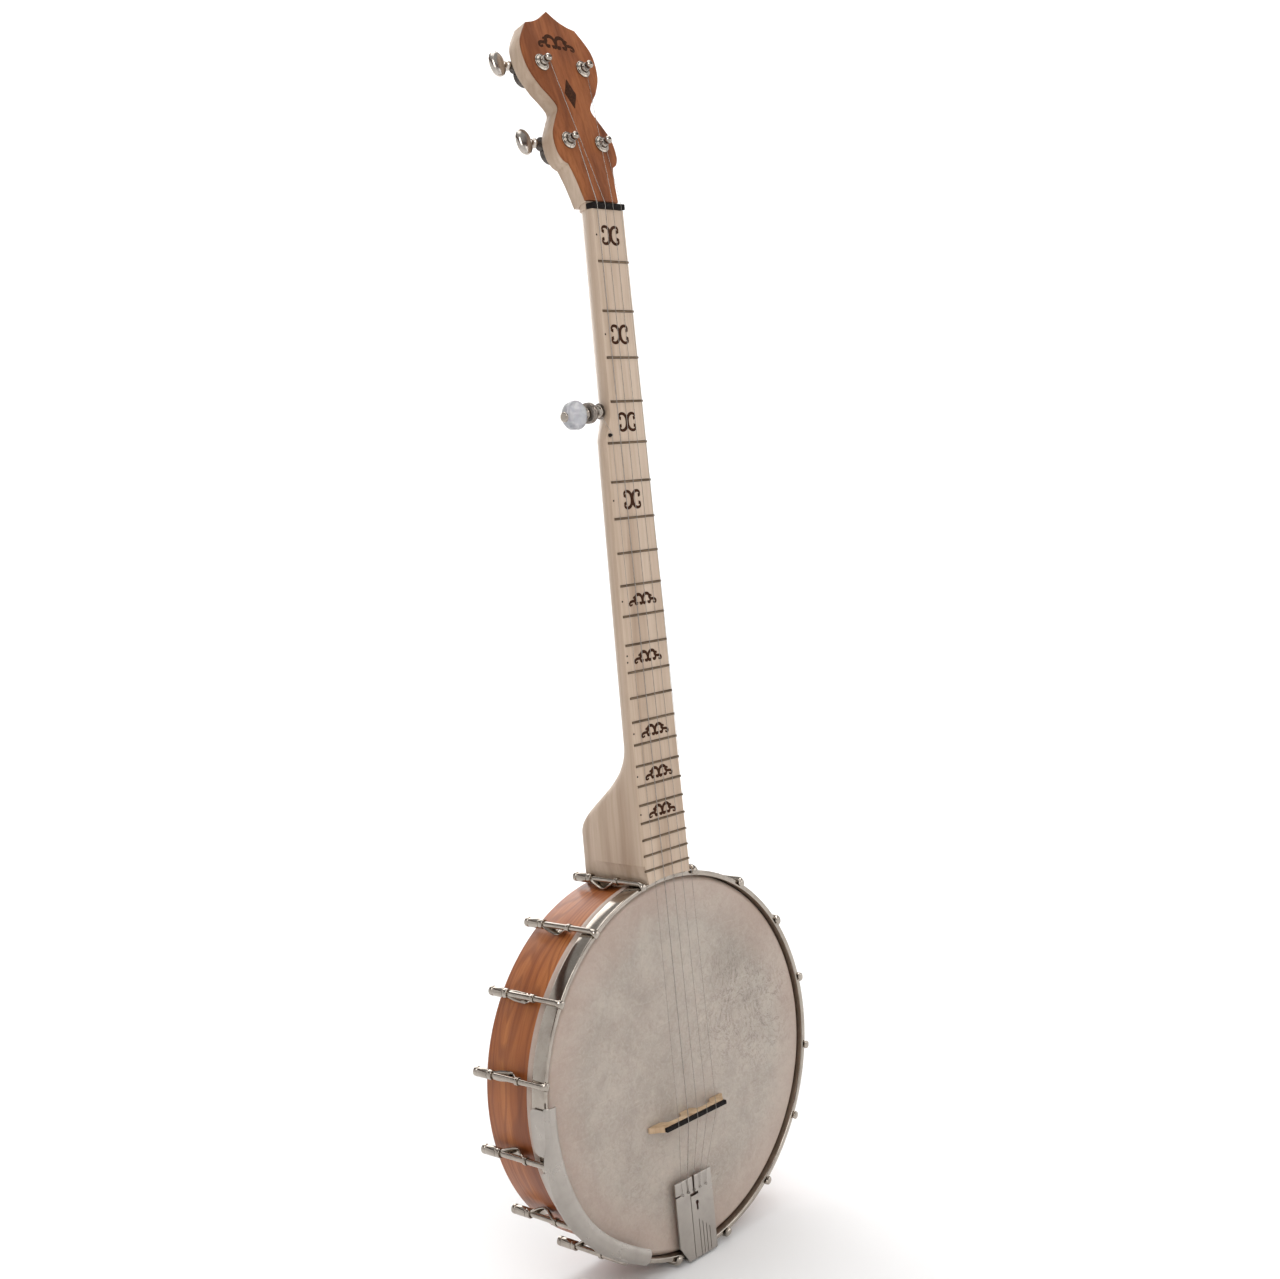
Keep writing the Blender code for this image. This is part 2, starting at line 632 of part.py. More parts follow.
tail_body.transform(Matrix.Rotation(math.pi / 2, 4, "Z") @ Matrix.Rotation(math.pi / 2, 4, "X"))
tail_centre = (TAIL_LEFT + TAIL_RIGHT) / 2
tail_body.transform(Matrix.Translation((tail_centre, 0, 0)))
tailpiece = add_part("tailpiece", tail_body, instrument, SATIN_FINISH, (0, 0, -POT_DROP))
trim_outline = [
    (TAIL_LEFT - 0.010, -TAIL_CORNER), (TAIL_LEFT - 0.010, -TAIL_FOLD - 0.010),
    (TAIL_STRAP_LEFT, -TAIL_FOLD - 0.010), (TAIL_STRAP_LEFT, -TAIL_FOLD - 0.001),
    (TAIL_LEFT - 0.0005, -TAIL_CORNER)]
trim_mesh = plate_mesh("tail_trim", trim_outline, 0.2)
trim_mesh.transform(Matrix.Rotation(math.pi / 2, 4, "X"))
trim = add_cutter("tail_trim", trim_mesh, instrument, (0, 0, -POT_DROP))
combine(tailpiece, trim, "DIFFERENCE")
for name, low, high in (
        ("tail_slot", (-0.0012, -0.01, -0.013), (0.0012, 0.01, 0.01)),
        ("tail_cross_slot", (-0.0045, -0.01, -0.0148), (0.0045, 0.01, -0.0125)),
        ("tail_keyhole", (0.0010, -0.01, -0.0280), (0.0030, 0.01, -0.0200))):
    slot = add_cutter(name, box_mesh(name, low, high), instrument,
                      (tail_centre, 0, -POT_DROP - TAIL_TOP))
    combine(tailpiece, slot, "DIFFERENCE")
strap_hole = add_cutter("strap_hole", cylinder_mesh(
    "strap_hole", ROD_STUD_RADIUS + FIT_GAP, (0, ROD_DEPTH, -0.16), (0, ROD_DEPTH, -0.13)),
    instrument, (0, 0, -POT_DROP))
combine(tailpiece, strap_hole, "DIFFERENCE")


# ---------------------------------------------------------------- armrest
ARMREST_START = 84               # degrees from the neck, towards the bass side
ARMREST_END = 153
ARMREST_PLATE = 0.0014
ARMREST_FRONT = -0.0042


def armrest_inner(angle):
    share = smoothstep((angle - 118) / 34)
    return blend_between(0.1392, 0.1335, share)


def armrest_outer(angle):
    widening = smoothstep((angle - 92) / 8) * (1 - smoothstep((angle - 112) / 26))
    return blend_between(0.1500, 0.1555, widening) - 0.0045 * smoothstep((angle - 132) / 20)


def around_pot(radius, angle, depth):
    """A point at an angle in degrees from the neck, turning towards the bass side."""
    turn = math.radians(angle)
    return (-radius * math.sin(turn), depth, radius * math.cos(turn))


def armrest_ring(angle):
    """A section of the plate: it is crowned, and its outer lip turns down over the hooks."""
    inner = armrest_inner(angle)
    outer = armrest_outer(angle)
    crown = [(0, 0.0012), (0.12, 0.0003), (0.5, 0), (0.85, 0.0004), (1, 0.0026)]
    top = [(blend_between(inner, outer, share), ARMREST_FRONT + drop) for share, drop in crown]
    under = [(radius - 0.0006 * (index == 4), depth + ARMREST_PLATE)
             for index, (radius, depth) in enumerate(top)]
    return [around_pot(radius, angle, depth) for radius, depth in top + list(reversed(under))]


def skirt_rings(start, end):
    """Part of the side flange, a band hanging just outside the hoop."""
    inner = HOOP_OUTER + 0.0006
    outer = inner + 0.0012
    corners = [(inner, -0.0034), (outer, -0.0034), (outer, HOOP_BACK), (inner, HOOP_BACK)]
    count = max(3, round((end - start) / 2.8))
    angles = [start + (end - start) * step / count for step in range(count + 1)]
    return [[around_pot(radius, angle, depth) for radius, depth in corners] for angle in angles]


armrest_steps = 24
armrest_angles = [ARMREST_START + (ARMREST_END - ARMREST_START) * step / armrest_steps
                  for step in range(armrest_steps + 1)]
armrest_pieces = [loft_mesh("armrest_plate", [armrest_ring(angle) for angle in armrest_angles])]
for start, end in ((85.2, 98.6), (104.0, 121.2), (126.4, 143.6)):
    armrest_pieces.append(loft_mesh("armrest_skirt", skirt_rings(start, end)))
add_part("armrest", joined("armrest", armrest_pieces), instrument, SATIN_FINISH,
         (0, 0, -POT_DROP))


# ---------------------------------------------------------------- bridge
BRIDGE_DROP = SCALE_LENGTH + 0.0036
BRIDGE_FOOT = HEAD_FACE - FIT_GAP
half_foot = BRIDGE_LENGTH / 2
half_top = BRIDGE_TOP_LENGTH / 2
bridge_half = [(half_top - 0.0005, BRIDGE_HEIGHT - 0.0022), (half_foot - 0.006, 0.0075),
               (half_foot, 0.0020), (half_foot, 0), (half_foot - 0.014, 0),
               (half_foot - 0.017, 0.0048), (0.0130, 0.0060), (0.0080, 0.0042), (0.0065, 0)]
bridge_outline = bridge_half + [(-across, height) for across, height in reversed(bridge_half)]
bridge_body = plate_mesh("bridge_body", bridge_outline, 0.0042)
saddle = box_mesh("bridge_saddle", (-half_top, BRIDGE_HEIGHT - 0.0026, -0.0015),
                  (half_top, BRIDGE_HEIGHT, 0.0015))
bridge_mesh = joined("bridge", [bridge_body, saddle])
add_part("bridge", bridge_mesh, instrument, WOOD_FINISH, (BRIDGE_CENTRE, BRIDGE_FOOT, -BRIDGE_DROP),
         (math.pi, 0, 0))


# ---------------------------------------------------------------- tuners
def tuner_profile_post():
    """The string post, waisted where the string winds, with a domed end."""
    return [
        (0, POST_RISE), (0.0018, POST_RISE - 0.0002), (POST_RADIUS, POST_RISE - 0.0014),
        (POST_RADIUS, POST_RISE - 0.0026), (0.0022, POST_RISE - 0.0036),
        (0.0022, 0.0042), (POST_RADIUS, 0.0032), (POST_RADIUS, -0.0150), (0, -0.0150)]


BACK_OF_PEGHEAD = -(OVERLAY_THICKNESS + FIT_GAP + PEGHEAD_THICKNESS)
CASE_FRONT = BACK_OF_PEGHEAD - FIT_GAP
CASE_BACK = CASE_FRONT - 0.0118
bushing_profile = [
    (POST_RADIUS + FIT_GAP, 0.0024), (0.0042, 0.0024), (0.0052, 0.0016), (0.0064, 0.0012),
    (0.0064, FIT_GAP), (BUSHING_SLEEVE, FIT_GAP), (BUSHING_SLEEVE, -0.0110),
    (POST_RADIUS + FIT_GAP, -0.0110)]
BUTTON_HALF_WIDTH = 0.0064
BUTTON_HALF_HEIGHT = 0.0096


def oval_outline(half_width, half_height, corners=12):
    turns = [2 * math.pi * step / corners for step in range(corners)]
    return [(half_width * math.cos(turn), half_height * math.sin(turn)) for turn in turns]


def gear_case_mesh(name):
    """The case behind the peghead: worm tunnel above, gear cover below, and a fixing ear."""
    cover = cylinder_mesh("cover", 0.0078, (0, 0, CASE_FRONT), (0, 0, CASE_BACK + 0.0010), 12)
    tunnel = box_mesh("tunnel", (-0.0085, 0.0011, CASE_BACK),
                      (0.0085, WORM_OFFSET + 0.0052, CASE_FRONT - 0.0004))
    ear = box_mesh("ear", (-0.0031, -0.0131, CASE_FRONT - 0.0026),
                   (0.0031, -0.0013, CASE_FRONT - 0.0002))
    return joined(name, [cover, tunnel, ear])


worm_level = -WORM_DEPTH
for place, (side, across, along) in POSTS.items():
    axis = add_empty("tuner_axis_" + place, (side * across, along, 0), (0, 0, 0), peghead)
    add_part("tuner_bushing_" + place, turned_mesh(
        "tuner_bushing", bushing_profile, 12, True), axis, NICKEL_FINISH)
    add_part("tuner_post_" + place, turned_mesh(
        "tuner_post", tuner_profile_post(), 12), axis, NICKEL_FINISH)
    case = add_part("tuner_case_" + place, gear_case_mesh("tuner_case"), axis,
                    NICKEL_FINISH)
    well = add_cutter("post_well_" + place, cylinder_mesh(
        "post_well", POST_RADIUS + FIT_GAP, (0, 0, -0.0155), (0, 0, 0.01)), axis)
    combine(case, well, "DIFFERENCE")
    worm_bore = add_cutter("worm_bore_" + place, cylinder_mesh(
        "worm_bore", 0.0024 + FIT_GAP, (side * -0.0040, WORM_OFFSET, worm_level),
        (side * 0.02, WORM_OFFSET, worm_level)), axis)
    combine(case, worm_bore, "DIFFERENCE")
    button_axis = add_empty("button_axis_" + place,
                            (side * BUTTON_REACH, WORM_OFFSET, worm_level),
                            (0, 0, 0 if side > 0 else math.pi), axis)
    oval = plate_mesh("button_oval", oval_outline(BUTTON_HALF_WIDTH, BUTTON_HALF_HEIGHT), 0.0066)
    shaft = cylinder_mesh("button_shaft", 0.0024, (-BUTTON_REACH - 0.0034, 0, 0), (-0.004, 0, 0), 8)
    collar = cylinder_mesh("button_collar", 0.0036, (-0.0098, 0, 0), (-0.0040, 0, 0), 8)
    add_part("tuner_button_" + place, joined("tuner_button", [oval, shaft, collar]),
             button_axis, NICKEL_FINISH)


# ---------------------------------------------------------------- fifth-string peg
# Local Z of this peg runs out of the neck's bass side, and its button turns round it.
add_part("fifth_peg_core", turned_mesh("fifth_peg_core", [
    (0, 0.0140), (0.0076, 0.0140), (0.0076, 0.0095), (0.0064, 0.0082), (0.0014, 0.0082),
    (0.0014, 0.0006), (0.0058, 0.0006), (0.0058, 0.0002), (SHANK_RADIUS, -0.0008),
    (SHANK_RADIUS, -0.0080), (0, -0.0080)], 16), fifth_peg, NICKEL_FINISH)
add_part("fifth_peg_post", turned_mesh("fifth_peg_post", [
    (0.0045, 0.0079), (0.0045, 0.0070), (0.0030, 0.0060), (0.0030, 0.0026), (0.0045, 0.0016),
    (0.0045, 0.0009), (0.0017, 0.0009), (0.0017, 0.0079)], 16, True), fifth_peg, NICKEL_FINISH)
PEG_BUTTON_CENTRE = 0.0262
pearl = bmesh.new()
bmesh.ops.create_cone(pearl, cap_ends=True, segments=20, radius1=0.0105, radius2=0.0105,
                      depth=0.0078, matrix=Matrix.Translation((0, 0, PEG_BUTTON_CENTRE))
                      @ Matrix.Rotation(math.pi / 2, 4, "X"))
peg_button_pieces = [
    mesh_of(pearl, "pearl"),
    cylinder_mesh("peg_stem", 0.0030, (0, 0, 0.0143), (0, 0, 0.020)),
    cylinder_mesh("peg_screw", 0.0030, (0, 0, 0.032), (0, 0, 0.0376))]
add_part("fifth_peg_button", joined("fifth_peg_button", peg_button_pieces), fifth_peg,
         PEARL_FINISH)


# ---------------------------------------------------------------- strings
def post_place(place, level):
    """A post's axis, level above the peghead's face, in the instrument's frame."""
    side, across, along = POSTS[place]
    return to_instrument @ Vector((side * across, along, level))


def winding(centre, across, along, radius, start, turns, pitch_axis, pitch):
    """Points of a coil round an axis; start is the angle where the string meets it."""
    points = []
    per_turn = 8
    for step in range(int(turns * per_turn) + 1):
        angle = start + 2 * math.pi * step / per_turn
        offset = across * math.cos(angle) + along * math.sin(angle)
        points.append(centre + offset * radius + pitch_axis * (pitch * step / per_turn))
    return points


BRIDGE_CROWN = BRIDGE_FOOT - BRIDGE_HEIGHT
face_across = Vector((1, 0, 0))
face_along = (to_instrument.to_3x3() @ Vector((0, 1, 0))).normalized()
face_out = (to_instrument.to_3x3() @ Vector((0, 0, 1))).normalized()
STRING_ROUTES = ("treble_lower", "treble_upper", "bass_upper", "bass_lower")
for number in range(1, 6):
    radius = STRING_RADII[number - 1]
    bridge_x = BRIDGE_CENTRE + (3 - number) * STRING_SPACING_BRIDGE
    lift = radius + 0.0001
    spread = bridge_x - BRIDGE_CENTRE
    tail = Vector((tail_centre + spread * 0.62, TAIL_FRONT - 0.0006,
                   -POT_DROP - TAIL_TOP - 0.0095))
    lip = Vector((tail_centre + spread * 0.68, TAIL_FRONT - 0.0010,
                  -POT_DROP - TAIL_TOP + 0.0004))
    saddle_back = Vector((bridge_x, BRIDGE_CROWN - lift, -BRIDGE_DROP - 0.0015))
    saddle_front = Vector((bridge_x, BRIDGE_CROWN - lift, -BRIDGE_DROP + 0.0015))
    route = [tail, lip, saddle_back, saddle_front]
    if number < 5:
        nut_x = (2.5 - number) * STRING_SPACING_NUT
        nut_top = Vector((nut_x, -0.0018 - lift, 0.0))
        route += [nut_top, nut_top + Vector((0, 0, 0.0042))]
        place = STRING_ROUTES[number - 1]
        centre = post_place(place, 0.0059)
        side = POSTS[place][0]
        coil_radius = 0.0022 + radius + 0.0004
        route += winding(centre, -side * face_across, -face_along, coil_radius, 0.3, 2.2, face_out,
                         -2.2 * radius)
    else:
        pip = Vector((-0.0206, -0.0028 - lift, -FIFTH_NUT_DROP))
        route += [pip + Vector((0, 0, -0.0010)), pip + Vector((0, 0, 0.0010))]
        bpy.context.view_layer.update()
        frame = instrument.matrix_world.inverted() @ fifth_peg.matrix_world
        centre = frame @ Vector((0, 0, 0.0049))
        peg_axis = (frame.to_3x3() @ Vector((0, 0, 1))).normalized()
        front = Vector((0, -1, 0))
        upward = peg_axis.cross(front).normalized()
        if upward.z < 0:
            upward = -upward
        route += winding(centre, front, upward, 0.0030 + radius + 0.0004, 0, 2.2, peg_axis,
                         -2.2 * radius)
    add_part("string_%d" % number, wire_mesh("string_%d" % number, route, radius), instrument,
             STEEL_FINISH)
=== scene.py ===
import json
from math import copysign, cos, pi, radians, sin

import bmesh
import bpy
from mathutils import Matrix, Vector

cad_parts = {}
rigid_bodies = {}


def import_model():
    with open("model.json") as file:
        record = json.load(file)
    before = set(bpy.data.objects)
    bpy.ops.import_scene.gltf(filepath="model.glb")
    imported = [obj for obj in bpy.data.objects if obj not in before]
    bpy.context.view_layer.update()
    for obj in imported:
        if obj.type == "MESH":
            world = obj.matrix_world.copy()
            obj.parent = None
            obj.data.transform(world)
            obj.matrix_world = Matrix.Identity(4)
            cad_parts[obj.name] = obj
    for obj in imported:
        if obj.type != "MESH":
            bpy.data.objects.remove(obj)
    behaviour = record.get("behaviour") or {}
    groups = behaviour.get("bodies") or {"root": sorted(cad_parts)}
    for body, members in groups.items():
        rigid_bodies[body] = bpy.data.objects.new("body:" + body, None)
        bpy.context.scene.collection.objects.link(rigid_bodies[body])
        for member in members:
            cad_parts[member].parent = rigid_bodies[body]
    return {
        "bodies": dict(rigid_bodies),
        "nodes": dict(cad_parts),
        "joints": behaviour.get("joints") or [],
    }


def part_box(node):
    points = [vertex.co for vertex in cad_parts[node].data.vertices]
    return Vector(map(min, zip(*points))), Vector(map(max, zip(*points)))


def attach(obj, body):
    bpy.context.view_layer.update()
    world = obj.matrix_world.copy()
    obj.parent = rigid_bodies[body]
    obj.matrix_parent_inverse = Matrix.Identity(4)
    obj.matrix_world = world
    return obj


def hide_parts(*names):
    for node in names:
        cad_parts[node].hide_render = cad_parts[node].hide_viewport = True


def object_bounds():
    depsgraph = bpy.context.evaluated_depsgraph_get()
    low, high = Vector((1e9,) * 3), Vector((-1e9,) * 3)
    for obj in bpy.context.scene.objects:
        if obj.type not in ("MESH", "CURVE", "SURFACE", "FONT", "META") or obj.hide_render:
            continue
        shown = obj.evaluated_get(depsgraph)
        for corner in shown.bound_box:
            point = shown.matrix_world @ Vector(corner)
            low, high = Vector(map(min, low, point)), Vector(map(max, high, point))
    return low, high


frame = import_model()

cad_low, cad_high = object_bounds()
scene = bpy.context.scene
kept = set(frame["nodes"].values()) | set(frame["bodies"].values())
for old in list(bpy.data.objects):
    if old not in kept:
        bpy.data.objects.remove(old, do_unlink=True)

TAU = 2 * pi
BODY = "instrument_body"


# ---------------------------------------------------------------- camera
def add_camera():
    data = bpy.data.cameras.new("camera")
    data.sensor_width = 36
    data.lens = 46.72
    data.clip_start = 0.02
    data.clip_end = 60
    camera = bpy.data.objects.new("camera", data)
    scene.collection.objects.link(camera)
    forward = Vector((0.71675535, 0.69265251, -0.08058703))
    up = Vector((0.12377873, -0.01264451, 0.99222928))
    right = forward.cross(up).normalized()
    up = right.cross(forward).normalized()
    place = Matrix((right, up, -forward)).transposed().to_4x4()
    place.translation = Vector((-0.878447, -0.860029, -0.24995))
    camera.matrix_world = place
    scene.camera = camera


add_camera()

# ---------------------------------------------------------------- frames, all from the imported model
nut_low, nut_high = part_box("nut")
rim_low, rim_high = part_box("rim")
ORIGIN = Vector((0, nut_low.y + 0.0018, nut_low.z))
POT_CENTRE = (rim_low + rim_high) / 2
POT_DROP = ORIGIN.z - POT_CENTRE.z
RIM_RADIUS = (rim_high.x - rim_low.x) / 2
RIM_FRONT = rim_low.y - ORIGIN.y
RIM_BACK = rim_high.y - ORIGIN.y
JOINTS = {joint["name"]: joint for joint in frame["joints"]}


def moved(place, x, y, z, angle=0.0, axis="X"):
    """A frame shifted along its own axes, then turned by an angle in degrees."""
    return place @ Matrix.Translation((x, y, z)) @ Matrix.Rotation(radians(angle), 4, axis)


def joint_place(name):
    return Vector(JOINTS[name]["pos_m"])


INSTRUMENT = Matrix.Translation(ORIGIN)
POT = moved(INSTRUMENT, 0, 0, -POT_DROP, -90)
PEGHEAD_TILT = 15
PEGHEAD = moved(INSTRUMENT, 0, 0.004, 0.004, 90 - PEGHEAD_TILT)
# Local X of the board runs across it and local Y up the neck; local Z stands out of it.
BOARD = moved(INSTRUMENT, 0, 0, 0, 90)


# ---------------------------------------------------------------- mesh helpers
SHARP_ANGLE = 35


def finish_mesh(bm, name, angle=SHARP_ANGLE):
    bmesh.ops.recalc_face_normals(bm, faces=bm.faces)
    mesh = bpy.data.meshes.new(name)
    bm.to_mesh(mesh)
    bm.free()
    mesh.shade_smooth()
    mesh.set_sharp_from_angle(angle=radians(angle))
    return mesh


def add_piece(name, bm, material, replaces=(), body=BODY, angle=SHARP_ANGLE):
    """Link a mesh to its body and the nodes it replaces.
    """
    mesh = bm if isinstance(bm, bpy.types.Mesh) else finish_mesh(bm, name, angle)
    mesh.materials.clear()
    mesh.materials.append(material)
    piece = bpy.data.objects.new(name, mesh)
    scene.collection.objects.link(piece)
    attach(piece, body)
    if replaces:
        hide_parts(*replaces)
    return piece


def rounded(points, radius, closed=False, segments=3):
    """Round a profile's corners with short quadratic arcs."""
    points = [Vector(point) for point in points]
    count = len(points)
    result = []
    for index, corner in enumerate(points):
        if not closed and index in (0, count - 1):
            result.append(corner)
            continue
        before = points[index - 1] - corner
        after = points[(index + 1) % count] - corner
        if before.angle(after, 0) > radians(172):
            result.append(corner)
            continue
        start = corner + before.normalized() * min(radius, before.length * 0.45)
        end = corner + after.normalized() * min(radius, after.length * 0.45)
        for step in range(segments + 1):
            share = step / segments
            result.append(start * (1 - share) ** 2 + corner * 2 * share * (1 - share)
                          + end * share ** 2)
    return result


def stitch(bm, rows, closed=False):
    pairs = list(zip(rows, rows[1:]))
    if closed:
        pairs.append((rows[-1], rows[0]))
    steps = max(len(row) for row in rows)
    for lower, upper in pairs:
        for index in range(steps):
            following = (index + 1) % steps
            corners = [lower[index % len(lower)], lower[following % len(lower)],
                       upper[following % len(upper)], upper[index % len(upper)]]
            corners = list(dict.fromkeys(corners))
            if len(corners) > 2:
                bm.faces.new(corners)


def signed_power(value, exponent):
    return copysign(abs(value) ** exponent, value)


def superellipse(half_width, half_height, exponent, corners):
    """An ellipse that gets squarer as the exponent falls from 1, and a circle at equal halves."""
    angles = [TAU * step / corners for step in range(corners)]
    return [(half_width * signed_power(cos(angle), exponent),
             half_height * signed_power(sin(angle), exponent)) for angle in angles]


def ring_verts(bm, half_x, half_y, height, place, steps, exponent=1.0):
    """One ring of vertices round the local Z of place, or a single one where it has no width."""
    if half_x < 1e-6:
        return [bm.verts.new(place @ Vector((0, 0, height)))]
    return [bm.verts.new(place @ Vector((x, y, height)))
            for x, y in superellipse(half_x, half_y, exponent, steps)]


def turn(bm, profile, place, steps, closed=False):
    """Revolve (radius, height) pairs round the local Z of place."""
    stitch(bm, [ring_verts(bm, radius, radius, height, place, steps)
                for radius, height in profile], closed)


def lathe(bm, profile, place, steps, radius=0.0, closed=False, segments=3):
    """Revolve a profile given in millimetres, its corners rounded by radius."""
    profile = [(across / 1000, up / 1000) for across, up in profile]
    if radius:
        profile = rounded(profile, radius / 1000, closed, segments)
    turn(bm, profile, place, steps, closed)


def loft(bm, rings):
    rows = [[bm.verts.new(point) for point in ring] for ring in rings]
    stitch(bm, rows)
    bm.faces.new(list(reversed(rows[0])))
    bm.faces.new(rows[-1])


def sweep(bm, path, sections, side, place, corners=16, power=2.0):
    """Sweep an ellipse, or a softer box, along a flat path; each section is (width, thickness)."""
    side = Vector(side)
    path = [Vector(point) for point in path]
    rings = []
    for index, centre in enumerate(path):
        ahead = path[min(index + 1, len(path) - 1)]
        behind = path[max(index - 1, 0)]
        normal = (ahead - behind).normalized().cross(side)
        half_width, half_thick = sections[index]
        rings.append([place @ (centre + side * across + normal * up) for across, up in
                      superellipse(half_width, half_thick, 2 / power, corners)])
    loft(bm, rings)


def pipe(bm, points, radius, place, corners):
    """A round tube along any route, its section carried along without twist."""
    points = [place @ point for point in points]
    tangent = (points[1] - points[0]).normalized()
    normal = tangent.orthogonal().normalized()
    rings = []
    for index, centre in enumerate(points):
        ahead = points[min(index + 1, len(points) - 1)]
        behind = points[max(index - 1, 0)]
        following = (ahead - behind).normalized()
        normal.rotate(tangent.rotation_difference(following))
        tangent = following
        binormal = tangent.cross(normal)
        rings.append([centre + normal * across + binormal * up
                      for across, up in superellipse(radius, radius, 1, corners)])
    loft(bm, rings)


def shrunk(outline, amount):
    """Move a closed outline inwards by amount."""
    points = [Vector(point) for point in outline]
    area = sum(a.x * b.y - b.x * a.y for a, b in zip(points, points[1:] + points[:1]))
    sense = 1 if area > 0 else -1
    result = []
    for index, corner in enumerate(points):
        first = (corner - points[index - 1]).normalized()
        second = (points[(index + 1) % len(points)] - corner).normalized()
        inward = Vector((-(first.y + second.y), first.x + second.x)) * sense
        if inward.length < 1e-9:
            result.append(corner)
            continue
        inward.normalize()
        spread = max(inward.dot(Vector((-first.y, first.x)) * sense), 0.4)
        result.append(corner + inward * amount / spread)
    return result


def plate(bm, outline, low, high, place, edge=0.0003):
    """A flat outline between two heights, its edges rounded by edge."""
    soft = 0.3 * edge
    levels = [(edge, low), (soft, low + soft), (0, low + edge),
              (0, high - edge), (soft, high - soft), (edge, high)]
    rings = [[place @ Vector((point.x, point.y, height)) for point in shrunk(outline, inset)]
             for inset, height in levels]
    loft(bm, rings)


def block(bm, low, high, place, edge=0.0004):
    outline = rounded([(low[0], low[1]), (high[0], low[1]), (high[0], high[1]),
                       (low[0], high[1])], edge * 1.5, True)
    plate(bm, outline, low[2], high[2], place, edge)


def smoothed(points, steps):
    """A Catmull-Rom curve through a line of points."""
    knots = [Vector(point) for point in (points[0], *points, points[-1])]
    curve = []
    for before, start, end, after in zip(knots, knots[1:], knots[2:], knots[3:]):
        for step in range(steps):
            share = step / steps
            pull = (end - before) * share * (1 - share) ** 2
            push = (after - start) * share ** 2 * (1 - share)
            curve.append(start + (end - start) * smoothstep(share) + (pull - push) / 2)
    return curve + [knots[-1]]


def smoothstep(value):
    value = min(max(value, 0), 1)
    return value * value * (3 - 2 * value)


def blend(first, second, share):
    return first + (second - first) * share


def cut(name, mesh, cutters):
    """Subtract closed meshes from a closed mesh."""
    base = bpy.data.objects.new(name + "_uncut", mesh)
    scene.collection.objects.link(base)
    helpers = []
    for index, cutter in enumerate(cutters):
        helper = bpy.data.objects.new(name + "_cutter_%d" % index, cutter)
        scene.collection.objects.link(helper)
        helpers.append(helper)
        step = base.modifiers.new("cut_%d" % index, "BOOLEAN")
        step.operation = "DIFFERENCE"
        step.solver = "EXACT"
        step.object = helper
    bpy.context.view_layer.update()
    evaluated = base.evaluated_get(bpy.context.evaluated_depsgraph_get())
    result = bpy.data.meshes.new_from_object(evaluated)
    for helper in [base] + helpers:
        bpy.data.objects.remove(helper, do_unlink=True)
    result.name = name
    result.shade_smooth()
    result.set_sharp_from_angle(angle=radians(SHARP_ANGLE))
    return result


# ---------------------------------------------------------------- materials
def srgb(red, green, blue):
    def linear(value):
        value /= 255
        return value / 12.92 if value <= 0.04045 else ((value + 0.055) / 1.055) ** 2.4
    return (linear(red), linear(green), linear(blue), 1)


